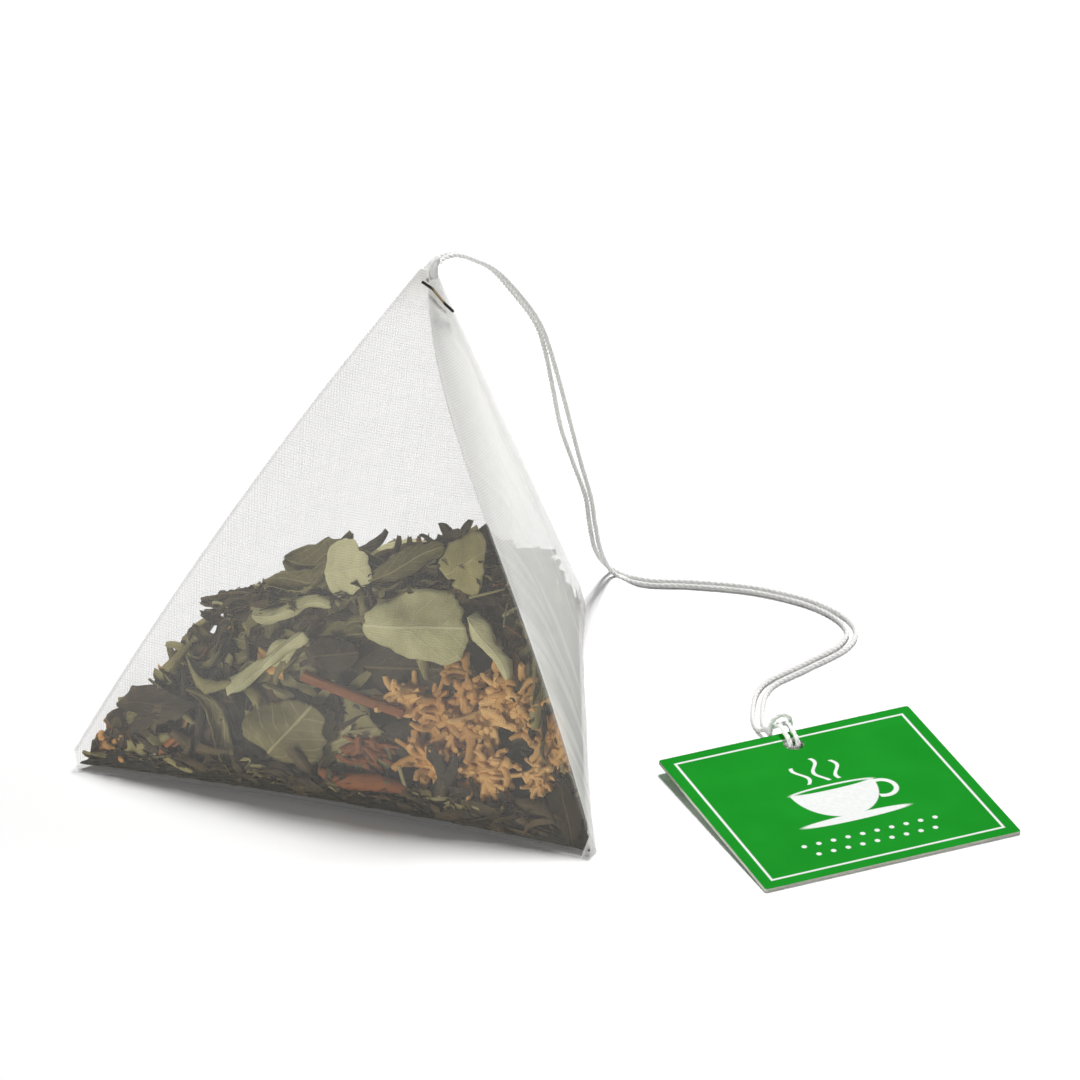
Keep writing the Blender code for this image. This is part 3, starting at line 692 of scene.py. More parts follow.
def makePouch(paint):
    bm = bmesh.new()
    for corner in corners.values():
        bmesh.ops.create_vert(bm, co=corner)
    bmesh.ops.convex_hull(bm, input=bm.verts)
    bmesh.ops.subdivide_edges(bm, edges=bm.edges, cuts=pouch["panels"] - 1, use_grid_fill=True)
    bmesh.ops.recalc_face_normals(bm, faces=bm.faces)
    middle = sum(corners.values(), Vector()) / 4
    for name in ("left", "right", "back"):
        outward = (corners[name] - middle).to_2d().to_3d().normalized()
        cutOff(bm, corners[name] - outward * pouch["cornerCut"] * mm, outward)
    outward = (corners["tip"] - middle).normalized()
    cutOff(bm, corners["tip"] - outward * pouch["tipCut"] * mm, outward)
    bmesh.ops.triangulate(bm, faces=[face for face in bm.faces if len(face.verts) > 4])
    weave = bm.loops.layers.uv.new("weave")
    away = bm.loops.layers.float_vector.new("away")
    dense = bm.loops.layers.float.new("closeness")
    for face in bm.faces:
        name = max(walls, key=lambda each: walls[each].normal.dot(face.normal))
        wall = walls[name]
        for loop in face.loops:
            along, up = (part / mm for part in wall.flat(loop.vert.co))
            loop[weave].uv = (along, up)
            edges = [other.depth(loop.vert.co) / mm for key, other in walls.items() if key != name]
            loop[away] = Vector(edges)
            loop[dense] = clothDensityAndShade(name, loop.vert.co)

    def wrinkled(vert):
        # the wrinkles fade out towards the seams
        depths = sorted(wall.depth(vert.co) / mm for wall in walls.values())
        fade = min(1.0, max(0.0, depths[1]) / 5)
        return relax(vert.co) + vert.normal * lump(vert.co, 9, 3.5, 0.4) * fade * pouch["wrinkle"] * mm

    moveAll(bm, wrinkled)
    piece = takePiece("nylonPouch", bm, paint, angle=50)
    shell = piece.modifiers.new("Cloth", "SOLIDIFY")
    shell.thickness = pouch["cloth"] * mm
    shell.offset = -1
    bpy.context.view_layer.update()
    bakeModifiers(piece)
    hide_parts("mesh_pouch")
    return piece


pouchPiece = makePouch(clothPaint())
print("pouch folded:", len(pouchPiece.data.polygons), "faces")

# The folded top of the pouch, gathered round the two ends of the thread: each ring is its middle,
# measured from the tip, and its half width and half depth, in millimetres
tab = {
    "rings": (
        ((-0.17, 0.0, -0.9), 0.95, 0.6),
        ((0.1, 0.1, 0.1), 0.68, 0.5),
        ((0.3, 0.15, 0.5), 0.56, 0.42),
        ((0.52, 0.22, 0.85), 0.44, 0.36),
        ((0.68, 0.28, 1.1), 0.3, 0.26),
    ),
    "sides": 24,
    "crease": 0.16,
}


def tabPaint():
    paint = Paint("foldedCloth")
    place = paint.place()
    x, _, z = paint.split(place)
    turns = math.tau / (pouch["threadPitch"] * mm)
    lines = ((x * turns).sine() * 0.5 + 0.5).most((z * turns).sine() * 0.5 + 0.5)
    creasesAndShade = paint.cloud(paint.stretch(place, (2600.0, 2600.0, 500.0)), 1.0, detail=3.0)
    # the hollows of the creases are painted a darker grey: painted shade in the folds of the tab
    paint.set(Base_Color=paint.blend(creasesAndShade.between(0.35, 0.7), (0.7, 0.7, 0.67), (0.85, 0.855, 0.835)))
    paint.set(Roughness=0.6, Sheen_Weight=0.2)
    return paint.bump(lines * 0.3 + creasesAndShade, 0.05 * mm, 0.6)


def makeTab(paint):
    tip = cutTip()
    bm = bmesh.new()
    loops = []
    for middle, wide, deep in tab["rings"]:
        loop = []
        for side in range(tab["sides"]):
            angle = math.tau * side / tab["sides"]
            x, y = math.cos(angle), math.sin(angle)
            crease = 1 + tab["crease"] * noise.noise(Vector((x, y, middle[2] * 0.4)) * 2)
            out = Vector((x * wide, y * deep, 0)) * crease
            loop.append(bm.verts.new(tip + (Vector(middle) + out) * mm))
        loops.append(loop)
    for lower, upper in zip(loops, loops[1:]):
        for side in range(tab["sides"]):
            after = (side + 1) % tab["sides"]
            bm.faces.new((lower[side], lower[after], upper[after], upper[side]))
    bm.faces.new(loops[0])
    bm.faces.new(loops[-1])
    bmesh.ops.subdivide_edges(bm, edges=bm.edges, cuts=1, smooth=0.6, use_grid_fill=True)
    bmesh.ops.recalc_face_normals(bm, faces=bm.faces)
    takePiece("foldedTab", bm, paint, angle=70)


makeTab(tabPaint())
print("tab folded")


# The tea: what each kind looks like
tea = {
    "dark_leaf": {"dark": (0.022, 0.014, 0.005), "light": (0.125, 0.086, 0.034), "rib": (0.18, 0.145, 0.06)},
    "green_leaf": {"dark": (0.1, 0.083, 0.022), "light": (0.4, 0.35, 0.14), "rib": (0.5, 0.45, 0.22)},
    "pale_leaf": {"dark": (0.3, 0.28, 0.11), "light": (0.64, 0.6, 0.32), "rib": (0.7, 0.66, 0.4)},
    "stem": {"dark": (0.26, 0.225, 0.09), "light": (0.46, 0.41, 0.19), "rib": (0.54, 0.48, 0.27)},
    "red_bark": {"dark": (0.17, 0.05, 0.014), "light": (0.4, 0.155, 0.045), "rib": (0.48, 0.23, 0.09)},
    "floret": {"dark": (0.55, 0.26, 0.055), "light": (0.86, 0.55, 0.21), "rib": (0.92, 0.68, 0.35)},
    # the dust's very dark colour is partly painted shade, for the shade at the foot of the pouch
    "dust": {"dark": (0.006, 0.005, 0.002), "light": (0.06, 0.05, 0.022), "rib": (0.1, 0.08, 0.03)},
}


def startSkin(kind):
    paint = Paint(kind + "Skin")
    x, y, _ = paint.split(paint.flat("leafMap"))
    return paint, tea[kind], paint.place(), x, y, paint.attribute("tint")


def leafPaint(kind):
    paint, colours, place, x, y, tint = startSkin(kind)
    patches = paint.cloud(place, 420.0, detail=4.0)
    grit = paint.cloud(place, 2400.0, detail=4.0, rough=0.7)
    rib = y.size().between(0.055, 0.02)
    side = ((x * 5.0 + y.size() * -4.0) * math.pi).sine().between(0.9, 1.0) * y.size().between(0.02, 0.1)
    net = paint.cells(paint.join(x * 9.0, y * 6.0, 0.0), 1.0).between(0.09, 0.0)
    veins = rib.most(side * 0.55).most(net * 0.22)
    shade = (patches * 0.55 + grit * 0.25 + tint * 0.6 - 0.27).between(0.05, 0.95)
    colour = paint.blend(shade, colours["dark"], colours["light"])
    paint.set(Base_Color=paint.blend(veins * 0.5, colour, colours["rib"]))
    paint.set(Roughness=0.62 + grit * 0.25, Specular_IOR_Level=0.3)
    return paint.bump(veins * 0.6 + grit * 0.5 + patches * 0.5, 0.12 * mm, 0.8)


def grainPaint(kind):
    # bark, stems and petals: lines along the piece instead of veins
    paint, colours, place, x, y, tint = startSkin(kind)
    lines = paint.cloud(paint.join(x * 1.2, y * 14.0, 0.0), 1.0, detail=4.0, rough=0.65)
    patches = paint.cloud(place, 520.0, detail=4.0)
    grit = paint.cloud(place, 3200.0, detail=3.0, rough=0.7)
    shade = (lines * 0.45 + patches * 0.5 + tint * 0.4 - 0.2).between(0.05, 0.95)
    colour = paint.blend(shade, colours["dark"], colours["light"])
    paint.set(Base_Color=paint.blend(grit.between(0.62, 0.8) * 0.7, colour, colours["rib"]))
    paint.set(Roughness=0.78, Specular_IOR_Level=0.25)
    return paint.bump(lines * 0.8 + grit * 0.4, 0.12 * mm, 0.9)


teaPaints = {kind: leafPaint(kind) for kind in ("dark_leaf", "green_leaf", "pale_leaf")}
teaPaints.update({kind: grainPaint(kind) for kind in ("stem", "red_bark", "floret", "dust")})


def mapSkin(bm, placeOf):
    # keeps each corner's place on the piece, as a map for the veins and the grain
    layer = bm.loops.layers.uv.new("leafMap")
    for face in bm.faces:
        for loop in face.loops:
            loop[layer].uv = placeOf(loop.vert.co)


def newSheet(columns, rows):
    # a flat grid from -1 to 1
    bm = bmesh.new()
    bmesh.ops.create_grid(bm, x_segments=columns, y_segments=rows, size=1)
    mapSkin(bm, lambda spot: spot.xy)
    return bm


def newStick(sides, low, high, length, matrix, axis, cuts, placeOf):
    # a tapered rod with rings of faces along it
    bm = bmesh.new()
    bmesh.ops.create_cone(
        bm, cap_ends=True, cap_tris=True, segments=sides, radius1=low, radius2=high, depth=length,
        matrix=matrix,
    )
    bmesh.ops.subdivide_edges(bm, edges=edgesAlong(bm, axis, length / 2), cuts=cuts, use_grid_fill=True)
    mapSkin(bm, placeOf)
    return bm


def wander(spot, seed, scale):
    return noise.noise(Vector((spot[0] * scale, spot[1] * scale, seed * 7.3)))


def rollUp(vert, amount):
    # rolls a sheet round its long axis, so that it dries into a gutter
    angle = vert.co.y * amount
    if abs(amount) > 0.01:
        out = 1 / amount - vert.co.z
        vert.co.y = math.sin(angle) * out
        vert.co.z = 1 / amount - math.cos(angle) * out


def leafBlade(seed, bow, columns=26, rows=10):
    bm = newSheet(columns, rows)
    dice = random.Random(seed)
    broad, twist, curve = dice.uniform(0.42, 0.6), dice.uniform(-0.5, 0.5), dice.uniform(0.08, 0.2)
    for vert in bm.verts:
        x, y = vert.co.x, vert.co.y
        half = 0.05 + 0.95 * max(0.0, math.cos(x * math.pi / 2 * 0.98)) ** 0.75
        ragged = 1 + (0.3 * wander((x * 2, y), seed, 2.0) + 0.12 * wander((x * 5, y), seed, 2.0)) * abs(y)
        wave = 0.1 * math.sin(6 * x + seed) * y * y + 0.14 * wander((x, y), seed + 1, 2.0)
        vert.co = Vector((x, y * broad * half * ragged, bow * (0.5 * abs(y) - 0.35 * x * x) + wave))
        rollUp(vert, 2.3 * bow * (1 + x * 0.4))
        angle = twist * x
        y2, z2 = vert.co.y, vert.co.z
        vert.co.y = y2 * math.cos(angle) - z2 * math.sin(angle) + curve * math.sin(2.2 * x)
        vert.co.z = y2 * math.sin(angle) + z2 * math.cos(angle)
    return bm


def brokenBlade(seed, bow, columns=20, rows=16):
    bm = newSheet(columns, rows)
    for vert in bm.verts:
        x, y = vert.co.x, vert.co.y
        angle = math.atan2(y, x)
        radius = max(abs(x), abs(y))
        wide = 0.88 + 0.1 * math.sin(3 * angle + seed) + 0.03 * math.sin(7 * angle + seed * 2)
        wide += 0.09 * noise.noise(Vector((math.cos(angle) * 4, math.sin(angle) * 4, seed)))
        if x or y:
            scale = radius * wide / math.hypot(x, y)
            x, y = x * scale, y * scale
        wave = 0.14 * wander((x, y), seed, 1.3) + 0.04 * wander((x, y), seed + 3, 4.0)
        vert.co = Vector((x, y, bow * (x * y + 0.6 * y * y + 0.25 * abs(y)) + wave))
    return bm


def curledBlade(seed, bow, columns=26, rows=12):
    bm = newSheet(columns, rows)
    dice = random.Random(seed)
    tight = dice.uniform(1.7, 2.6)
    for vert in bm.verts:
        x, y = vert.co.x, vert.co.y
        radius = 0.22 * (0.3 + 0.7 * max(0.0, math.cos(x * math.pi / 2 * 0.96)))
        radius *= 1 + 0.25 * wander((x, 0), seed, 2.5)
        roll = y * tight + 0.9 * x + seed
        crinkle = 1 + 0.22 * wander((x * 2, y), seed + 5, 2.6)
        bend = 0.4 * bow * x * x + 0.1 * math.sin(3 * x + seed)
        vert.co = Vector((x, radius * math.sin(roll) * crinkle + bend, -radius * math.cos(roll) * crinkle))
    return bm


def drawnStick(seed, bow, sides=12, cuts=18, thick=0.13):
    # a split length of stem or bark with ragged ends
    bm = newStick(sides, thick * 1.05, thick * 0.85, 2, Matrix.Rotation(math.pi / 2, 4, "Y"), 0, cuts,
                  lambda spot: (spot.x, math.sin(math.atan2(spot.y, spot.z))))
    for vert in bm.verts:
        x, y, z = vert.co
        angle = math.atan2(y, z)
        groove = 1 + 0.16 * math.sin(angle * 4 + seed) + 0.14 * noise.noise(Vector((x * 3, angle * 2, seed)))
        ragged = 0.07 * noise.noise(Vector((angle * 3, seed, 0))) if abs(x) > 0.98 else 0
        vert.co = Vector((x * (1 + ragged), y * groove + 0.2 * bow * x * x, z * groove * 0.75))
    return bm


def curledHorn(dice, length, thick):
    # one dried petal: a tapered, bent horn
    bm = newStick(8, thick, thick * 0.75, 1, Matrix.Translation((0, 0, 0.5)), 2, 7,
                  lambda spot: (spot.z, math.atan2(spot.y, spot.x) / math.pi))
    bend, seed = dice.uniform(0.6, 2.0), dice.uniform(0, 50)
    for vert in bm.verts:
        x, y, z = vert.co
        knobs = noise.noise(Vector((z * 5, math.atan2(y, x), seed)))
        belly = 0.85 + 0.2 * math.sin(z * math.pi) + 0.4 * knobs
        angle = bend * z
        along = math.sin(angle) / bend * length
        side = (1 - math.cos(angle)) / bend * length
        out = x * belly
        vert.co = Vector((side + out * math.cos(angle), y * belly * 0.8, along - out * math.sin(angle)))
    return bm


def floretTuft(seed, bow, count=26):
    # a handful of florets: chunky horns that leave a few small hearts, mostly across the view
    whole = bmesh.new()
    dice = random.Random(seed)
    for _ in range(count):
        heart = Vector((dice.uniform(-0.75, 0.75), dice.uniform(-0.75, 0.75), dice.uniform(-0.3, 0.3)))
        for _ in range(dice.choice((1, 2, 2))):
            horn = curledHorn(dice, dice.uniform(1.0, 1.8), dice.uniform(0.19, 0.28))
            turnTo = Matrix.Rotation(dice.uniform(0, math.tau), 3, "Z") @ Matrix.Rotation(
                dice.uniform(1.1, 2.0), 3, "Y") @ Matrix.Rotation(dice.uniform(0, math.tau), 3, "Z")
            bmesh.ops.rotate(horn, verts=horn.verts, cent=(0, 0, 0), matrix=turnTo)
            bmesh.ops.translate(horn, verts=horn.verts, vec=heart)
            addTo(whole, toMesh("horn", horn))
    return whole


sheetShapes = {"leaf": leafBlade, "broken": brokenBlade, "curled": curledBlade}
shapes = {**sheetShapes, "rod": drawnStick, "tuft": floretTuft}
heap = {
    "gap": 0.45,
    "layer": 1.3,
    "cloth": 0.25,
    "foot": 2.8,
    "height": 20.0,
    "leftFall": 0.22,
    "rearFall": 0.5,
    "rightFall": 0.28,
    "crest": 5.0,
    "belowTop": {"inner": 2.0, "right": 4.0, "rear": 6.5},
    "lean": 33,
    "topShare": 0.9,
    "leaf": 0.12,
    "clear": 0.45,
    "tuftDepth": 3.8,
    # how far a piece may reach past its cell, how far it may be stretched, and above which share of the
    # front wall the bits of leaf are all of the lightest tint
    "spill": {"leaf": 1.2, "broken": 1.15, "curled": 1.25, "rod": 1.08, "tuft": 1.4},
    "stretch": 1.45,
    "deepest": 1.2,
    "lightAbove": 0.35,
}


def keptInside(point):
    # pushes a point of the straight pyramid in from any wall that it is too near to
    for wall in walls.values():
        short = heap["clear"] * mm - wall.depth(point)
        if short > 0:
            point = point - wall.normal * short
    return point


def layPiece(name, kind, shape, place, cell, turn, bow, seed):
    # shapes one piece of tea and fills its cell with it: (along, up, depth) in metres, low and high
    bm = shapes[shape](seed, bow)
    bmesh.ops.rotate(bm, verts=bm.verts, cent=(0, 0, 0), matrix=Matrix.Rotation(turn, 3, "Z"))
    columns = list(zip(*(vert.co for vert in bm.verts)))
    low, high = Vector(min(each) for each in columns), Vector(max(each) for each in columns)
    room = Vector(cell[1]) - Vector(cell[0])
    size = high - low
    middle, cellMiddle = (low + high) / 2, (Vector(cell[0]) + Vector(cell[1])) / 2
    if shape == "tuft":
        room.z = heap["tuftDepth"] * mm
        cellMiddle.z = cell[0][2] + room.z / 2
    wide, tall = room.x / size.x, room.y / size.y
    stretch, spill = heap["stretch"], heap["spill"][shape]
    wide, tall = min(wide, tall * stretch) * spill, min(tall, wide * stretch) * spill
    deep = min(math.sqrt(wide * tall), room.z * heap["deepest"] / size.z)
    light = shape == "broken" and cell[0][1] > heap["lightAbove"] * walls["front"].slant
    value = 1.0 if light else random.Random(seed).random()
    tint = bm.verts.layers.float.new("tint")
    for vert in bm.verts:
        offset = vert.co - middle
        spot = place(cellMiddle + Vector((offset.x * wide, offset.y * tall, offset.z * deep)))
        vert.co = relax(keptInside(spot))
        vert[tint] = value
    bmesh.ops.recalc_face_normals(bm, faces=bm.faces)
    piece = takePiece(name, bm, teaPaints[kind], angle=60)
    if shape in sheetShapes:
        skin = piece.modifiers.new("Leaf", "SOLIDIFY")
        skin.thickness = heap["leaf"] * mm
        skin.offset = 0
    return piece


frontCells = (
    ("floret", "tuft", (8.5, 4.5, 16.5, 10), 20, 0.4),
    ("red_bark", "curled", (16.5, 4.5, 21.5, 10), 40, 0.4),
    ("green_leaf", "curled", (21.5, 4.5, 31, 17), -50, -0.8),
    ("dark_leaf", "curled", (15.5, 10.5, 21.5, 21), 65, 0.5),
    ("green_leaf", "curled", (21.5, 17.5, 29.5, 24), -15, 0.6),
    ("pale_leaf", "leaf", (29.5, 19, 43, 31), 35, 1.1),
    ("dark_leaf", "leaf", (31, 4.5, 44, 8), -4, 0.3),
    ("green_leaf", "broken", (33.5, 8, 48, 19), 60, 0.25),
    ("dark_leaf", "curled", (25.5, 31.5, 33.5, 38), 40, 0.4),
    ("pale_leaf", "leaf", (33.5, 31.5, 46.5, 38), 8, 0.95),
    ("red_bark", "rod", (43, 19, 62, 25), -15, 0.05),
    ("red_bark", "tuft", (48.5, 8.5, 63, 15.5), 12, 0.4),
    ("red_bark", "curled", (48.5, 4.5, 63, 8.5), -6, 0.3),
    ("dark_leaf", "broken", (43.5, 25, 54, 31.5), 20, 0.3),
    ("pale_leaf", "broken", (45.5, 38.5, 54, 48.5), 15, 0.3),
    ("green_leaf", "curled", (35, 38.5, 45.5, 45.5), 25, 0.5),
    ("pale_leaf", "broken", (54, 30, 71.5, 42), 10, 0.2),
    ("green_leaf", "leaf", (54, 42.5, 65.5, 50.5), 25, 0.5),
    ("green_leaf", "broken", (65.5, 42.5, 73.5, 53), 30, 0.3),
    ("pale_leaf", "leaf", (72, 28.5, 80, 39), -52, 0.8),
    ("floret", "tuft", (62.5, 16, 72, 26), 10, 0.6),
    ("floret", "tuft", (72, 17, 83, 28), 35, 0.4),
    ("floret", "tuft", (83.5, 9, 90, 16), 0, 0.4),
    ("floret", "tuft", (72, 8, 83.5, 16.5), 50, 0.5),
    ("floret", "tuft", (63.5, 7.5, 72, 15.5), 25, 0.4),
    ("stem", "rod", (64, 4.5, 82, 7.5), -3, 0.3),
    ("dark_leaf", "curled", (84, 4.5, 92, 8.5), -10, 0.5),
)
# more florets between those of the CAD model, so that they read as one cluster
moreFlorets = (
    (4, 1, 14, 12),
    (57, 19, 65, 26),
    (66, 22, 76, 31),
    (77, 22, 86, 31),
    (82, 14, 91, 23),
    (62, 8, 72, 17),
    (72, 7, 82, 17),
    (66, 14, 76, 24),
)
rowsOf = {
    "inner": (
        (("dark_leaf", "leaf", 0.34, 8, 0.4), ("green_leaf", "broken", 0.30, 30, 0.3),
         ("dark_leaf", "leaf", 0.36, -12, 0.4)),
        (("green_leaf", "leaf", 0.50, 22, 0.4), ("dark_leaf", "broken", 0.50, 10, 0.3)),
    ),
    "right": (
        (("green_leaf", "leaf", 0.36, 18, 0.4), ("dark_leaf", "curled", 0.30, -22, 0.5),
         ("green_leaf", "broken", 0.34, 35, 0.3)),
        (("floret", "tuft", 0.48, 30, 0.4), ("pale_leaf", "leaf", 0.52, 30, 0.4)),
        (("pale_leaf", "broken", 0.5, 20, 0.3), ("green_leaf", "leaf", 0.5, -35, 0.4)),
    ),
    "rear": (
        (("green_leaf", "leaf", 0.36, -15, 0.4), ("dark_leaf", "leaf", 0.34, 14, 0.4),
         ("floret", "tuft", 0.30, 50, 0.4)),
        (("pale_leaf", "broken", 0.34, 25, 0.3), ("red_bark", "rod", 0.32, 26, 0.1),
         ("green_leaf", "leaf", 0.34, -22, 0.4)),
        (("green_leaf", "leaf", 0.36, 30, 0.5), ("pale_leaf", "leaf", 0.34, -24, 0.4),
         ("dark_leaf", "curled", 0.30, 60, 0.5)),
    ),
    "top": (
        (("green_leaf", "leaf", 0.5, 15, 0.4), ("pale_leaf", "broken", 0.5, 40, 0.3)),
        (("pale_leaf", "leaf", 1.0, 12, 0.5),),
    ),
}
frontDepth = (heap["cloth"] + heap["gap"]) * mm
innerDepth = frontDepth + (heap["layer"] + heap["gap"]) * mm
laid = []


def onto(name):
    return lambda at: walls[name].point(at.x, at.y, at.z)


def layFront():
    wall = walls["front"]
    across, upward, half = wall.width / 100, wall.slant / 100, heap["gap"] * mm / 2
    for count, (kind, shape, (left, low, right, high), turn, bow) in enumerate(frontCells, 1):
        cell = (
            (left * across + half, low * upward + half, frontDepth),
            (right * across - half, high * upward - half, frontDepth + heap["layer"] * mm),
        )
        name = f"{kind}_front_{count:02d}"
        piece = layPiece(name + "_tea", kind, shape, onto("front"), cell, math.radians(turn), bow, count)
        laid.append((piece, name))
    for count, (left, low, right, high) in enumerate(moreFlorets, 1):
        cell = ((left * across, low * upward, frontDepth), (right * across, high * upward, frontDepth))
        layPiece(f"more_florets_{count}", "floret", "tuft", onto("front"), cell, 0, 0.4, 200 + count)


def layRows(group, span, place, low, high, depth, seed):
    rows = rowsOf[group]
    pitch = (high - low) / len(rows)
    made = 0
    for index, row in enumerate(rows):
        floor, ceiling = low + index * pitch, low + (index + 1) * pitch - heap["gap"] * mm
        start, end = span(ceiling)
        at = start
        for kind, shape, share, turn, bow in row:
            width = share * (end - start)
            made += 1
            cell = ((at, floor, depth), (at + width - heap["gap"] * mm, ceiling, depth + heap["layer"] * mm))
            name = f"{kind}_{group}_{made:02d}"
            piece = layPiece(name + "_tea", kind, shape, place, cell, math.radians(turn), bow, seed + made)
            laid.append((piece, name))
            at += width


footMiddle = (corners["left"] + corners["right"] + corners["back"]) / 3
heapTop = footMiddle + Vector((0, 0, heap["height"])) * mm
heapUp = Vector((-heap["leftFall"], heap["rearFall"], 1)).normalized()


def lid(point):
    # how far a point stands above the top of the loose tea, which falls to the left, the rear and the right
    crest = heapTop + Vector((1, 0, heap["leftFall"])) * heap["crest"] * mm
    right = Vector((heap["rightFall"], heap["rearFall"], 1)).normalized()
    return max((point - heapTop).dot(heapUp), (point - crest).dot(right))


def layTea():
    layFront()
    for group, name, depth, low, seed in (
        ("inner", "front", innerDepth, heap["foot"] * 1.5, 40),
        ("right", "right", frontDepth, heap["foot"], 60),
        ("rear", "rear", frontDepth, heap["foot"], 80),
    ):
        wall = walls[name]
        inset = (depth + (heap["layer"] + heap["gap"]) * mm) / math.tan(math.radians(heap["lean"]))
        high = (heap["height"] - heap["belowTop"][group]) * mm / wall.up.z
        layRows(group, lambda up, wall=wall, inset=inset: wall.span(up, inset), onto(name),
                low * mm, high, depth, seed)
    across = Vector((0, 1, 0)).cross(heapUp).normalized()
    away = heapUp.cross(across)
    sides = [walls[name].depth(heapTop) for name in ("front", "right", "rear")]
    reach = (min(sides) - innerDepth) * heap["topShare"]
    layRows("top", lambda up: (-reach, reach),
            lambda at: heapTop + across * at.x + away * at.y + heapUp * at.z,
            -reach, reach, heap["gap"] * mm, 100)
    for piece, name in laid:
        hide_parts(name)


layTea()
print("leaves laid:", len(laid))


# The fine cut leaf in the middle, the dark dust, whose colour is partly painted shade, and the loose scraps
# that fill the heap
def takeGround(name, bm, kind):
    bm.loops.layers.uv.new("leafMap")
    tint = bm.verts.layers.float.new("tint")
    for vert in bm.verts:
        vert[tint] = 0.2
    return takePiece(name, bm, teaPaints[kind], angle=180)


def makeBed():
    bm = bmesh.new()
    bm.from_mesh(nodes["cut_leaf_bed"].data)
    bmesh.ops.remove_doubles(bm, verts=bm.verts, dist=1e-6)
    for _ in range(2):
        bmesh.ops.subdivide_edges(bm, edges=bm.edges, cuts=1, use_grid_fill=True)
    bmesh.ops.triangulate(bm, faces=bm.faces)
    moveAll(bm, lambda vert: vert.co + vert.normal * (lump(vert.co, 2.2, 0.9, 0.6) - 0.4) * 0.35 * mm)
    piece = takeGround("cutLeafBed", bm, "dark_leaf")
    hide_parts("cut_leaf_bed")


scraps = {
    "kinds": 10,
    "counts": {"front": 620, "right": 360, "rear": 360, "base": 200, "top": 420, "foot": 500},
    "longCounts": {"front": 170, "right": 70, "rear": 60, "base": 30, "top": 90, "foot": 60},
    "size": (0.7, 1.9),
    "longSize": (2.2, 4.2),
    "shares": (("dark_leaf", 0.5), ("green_leaf", 0.38), ("pale_leaf", 0.04), ("stem", 0.04),
               ("red_bark", 0.03), ("floret", 0.01)),
    # below the low band the scraps are mostly dark leaf: partly painted shade at the foot of the pouch
    "lowShares": (("dark_leaf", 0.8), ("green_leaf", 0.17), ("stem", 0.03)),
    "lowBand": 4.5,
    # how deep the loose pieces lie behind the cloth of each wall
    "depths": {"front": (2.1, 5.0), "right": (0.6, 4.0), "rear": (0.6, 4.0), "base": (0.5, 2.5)},
    # the left corner and the cluster on the front wall, where florets show, and how much deeper a loose
    # piece lies behind that cluster, all but the last as shares of the wall's width and height
    "clearCorner": (0.13, 0.12),
    "cluster": ((0.54, 0.94), (0.05, 0.32)),
    "behindCluster": 3.0,
    # the top line of the tea on the front wall, as shares of the wall's width and height
    "line": ((0.0, 0.0), (0.16, 0.27), (0.275, 0.33), (0.343, 0.38), (0.43, 0.48), (0.608, 0.51),
             (0.698, 0.54), (0.775, 0.47), (1.0, 0.0)),
}


def scrapMesh(seed, stick):
    # one small scrap of leaf or stem, about 2 across, as a closed mesh of a few dozen faces
    dice = random.Random(1000 + seed)
    if stick:
        bm = drawnStick(seed, dice.uniform(-0.6, 0.6), sides=5, cuts=2, thick=dice.uniform(0.07, 0.13))
    else:
        bm = newSheet(4, 2)
        broad, roll = dice.uniform(0.22, 0.5), dice.uniform(1.0, 2.4) * dice.choice((-1, 1))
        for vert in bm.verts:
            x, y = vert.co.x, vert.co.y
            ragged = 1 + dice.uniform(-0.12, 0.12)
            half = 0.35 + 0.65 * math.cos(x * math.pi / 2 * 0.9)
            vert.co = Vector((x * ragged, y * broad * half, 0.25 * wander((x, y), seed, 1.7)))
            rollUp(vert, roll + x * 0.5)
            vert.co.z += 0.25 * x * x * math.sin(seed)
        bmesh.ops.solidify(bm, geom=bm.faces[:], thickness=0.07)
    return bm


def longMesh(seed):
    # one long leaf that has dried into a twisted curl
    dice = random.Random(2000 + seed)
    make = curledBlade if dice.random() < 0.6 else leafBlade
    bm = make(seed + 300, dice.uniform(-0.9, 0.9), columns=12, rows=5)
    bmesh.ops.solidify(bm, geom=bm.faces[:], thickness=0.03)
    return bm


def keepInside(points, clearance):
    # how far to push some points so that none comes nearer to a wall than the clearance
    push = Vector()
    for wall in walls.values():
        nearest = min(wall.depth(point + push) for point in points)
        if nearest < clearance:
            push -= wall.normal * (clearance - nearest)
    return push


def underLine(along, line):
    for (a, low), (b, high) in zip(line, line[1:]):
        if along <= b:
            return low + (high - low) * (along - a) / (b - a)
    return 0.0


def scrapSpot(name, dice, reach):
    # a place for one loose piece and the direction that it faces, or nothing where no tea lies
    if name == "top":
        at = heapTop + Vector((dice.uniform(-25, 25), dice.uniform(-25, 25), 0)) * mm
        at.z += dice.uniform(-2.2, 0.6) * mm - lid(at)
        inside = min(wall.depth(at) for wall in walls.values()) > 0.5 * mm
        return (at, heapUp) if inside else None
    if name == "foot":
        wall = walls[dice.choice(("front", "front", "right", "rear"))]
        up, depth = dice.uniform(0.5, 3) * mm, dice.uniform(0.5, 2.5) * mm
        at = wall.point(dice.uniform(0.12, 0.88) * wall.width, up, depth)
        inside = min(other.depth(at) for other in walls.values()) > 0.4 * mm
        return (at, (wall.normal + walls["base"].normal).normalized()) if inside else None
    wall = walls[name]
    along, up = dice.uniform(0, wall.width), dice.uniform(0, wall.slant)
    depth = dice.uniform(*scraps["depths"][name]) * mm
    if along < scraps["clearCorner"][0] * wall.width and up < scraps["clearCorner"][1] * wall.slant:
        return None
    (left, right), (low, high) = scraps["cluster"]
    if name == "front" and left < along / wall.width < right and low < up / wall.slant < high:
        depth += scraps["behindCluster"] * mm
    at = wall.point(along, up, depth)
    if min(other.depth(at) for other in walls.values()) < 0.4 * mm:
        return None
    if name == "front" and up + reach > underLine(along / wall.width, scraps["line"]) * wall.slant:
        return None
    if name in ("right", "rear") and lid(at) > -reach:
        return None
    return at, wall.normal


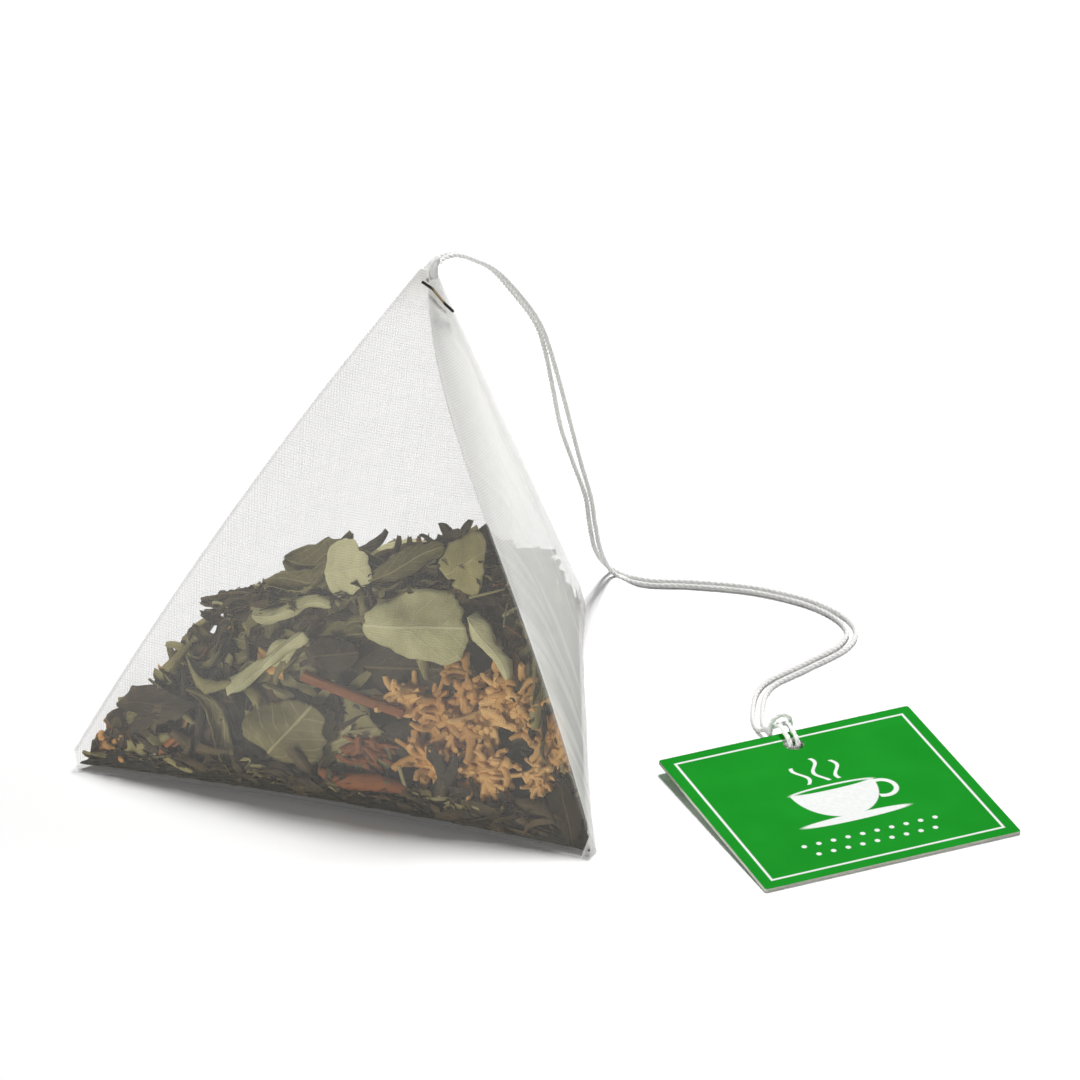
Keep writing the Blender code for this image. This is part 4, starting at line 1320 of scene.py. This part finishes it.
def scatterScraps():
    dice = random.Random(11)
    small = [scrapMesh(number, False) for number in range(scraps["kinds"])]
    sticks = [scrapMesh(number, True) for number in range(4)]
    long = [longMesh(number) for number in range(scraps["kinds"])]
    meshes = {}
    for group in (small, sticks, long):
        for index, bm in enumerate(group):
            mesh = toMesh("scrap", bm)
            mesh.attributes.new("tint", "FLOAT", "POINT")
            meshes[mesh] = [vert.co.copy() for vert in mesh.vertices]
            group[index] = mesh
    piles = {kind: bmesh.new() for kind, _ in scraps["shares"]}

    def drop(at, normal, choice, low, high):
        kinds, shares = zip(*scraps["lowShares" if at.z < scraps["lowBand"] * mm else "shares"])
        kind = dice.choices(kinds, shares)[0]
        mesh = dice.choice(sticks if kind in ("stem", "red_bark") else choice)
        size = dice.uniform(low, high) * mm * (0.6 if kind in ("floret", "pale_leaf") else 1)
        turn = Matrix.Rotation(dice.uniform(0, math.tau), 3, normal)
        lean = Matrix.Rotation(dice.gauss(0, 0.4), 3, normal.orthogonal())
        face = normal.to_track_quat("Z", "Y").to_matrix()
        placed = (turn @ lean @ face).to_4x4() @ Matrix.Scale(size, 4)
        points = [placed @ point + at for point in meshes[mesh]]
        at = at + keepInside(points, heap["clear"] * mm)
        copy = mesh.copy()
        copy.transform(Matrix.Translation(at) @ placed)
        copy.attributes["tint"].data.foreach_set("value", [dice.random()] * len(copy.vertices))
        addTo(piles[kind], copy)

    for counts, choice, sizes in (("counts", small, "size"), ("longCounts", long, "longSize")):
        for name, count in scraps[counts].items():
            placed = 0
            while placed < count:
                spot = scrapSpot(name, dice, scraps[sizes][0] * mm)
                if spot:
                    drop(*spot, choice, *scraps[sizes])
                    placed += 1
    made = 0
    for kind, pile in piles.items():
        for vert in pile.verts:
            vert.co = relax(keptInside(vert.co))
        made += len(pile.faces)
        takePiece(kind + "_scraps", pile, teaPaints[kind], angle=60)
    for mesh in meshes:
        bpy.data.meshes.remove(mesh)
    return made


# Each rim is its height in millimetres and how far it reaches towards the corners
dust = {"rims": ((0.5, 0.95), (1.8, 0.87)), "panels": 90}


def makeDustAndShade():
    # the fine dust that covers the floor of the pouch, out to its edges; its very dark colour is partly
    # painted shade, for the shade at the foot of the pouch
    bm = bmesh.new()
    for name in ("left", "right", "back"):
        for height, share in dust["rims"]:
            corner = footMiddle + (corners[name] - footMiddle) * share
            bmesh.ops.create_vert(bm, co=corner + Vector((0, 0, height)) * mm)
    bmesh.ops.convex_hull(bm, input=bm.verts)
    bmesh.ops.subdivide_edges(bm, edges=bm.edges, cuts=dust["panels"], use_grid_fill=True)
    bmesh.ops.triangulate(bm, faces=bm.faces)

    def crumbly(vert):
        return relax(keptInside(vert.co + vert.normal * lump(vert.co, 1.6, 0.6, 0.7) * 0.3 * mm))

    moveAll(bm, crumbly)
    takeGround("teaDustAndShade", bm, "dust")


makeBed()
makeDustAndShade()
print("scraps scattered:", scatterScraps(), "faces")


# The dark wire across the folded tip
def wirePaint():
    paint = Paint("darkWire")
    place = paint.place()
    patch = paint.cloud(place, 1500.0, detail=3.0)
    dark, tanMiddle = (0.012, 0.01, 0.008), (0.3, 0.23, 0.13)
    # the wire is dark at both ends and tan between them, so the share runs from 0 to 1 along it
    share = paint.split(place)[0] * 385.0 - 3.52 + (patch - 0.5) * 0.35
    paint.set(Base_Color=paint.ramp(share, (0.3, dark), (0.42, tanMiddle), (0.72, tanMiddle), (0.8, dark)))
    return paint.set(Roughness=0.4 + patch * 0.2, Metallic=0.6).bump(patch, 0.02 * mm)


nodes["tip_wire"].data.materials.clear()
nodes["tip_wire"].data.materials.append(wirePaint().material)
print("wire finished")
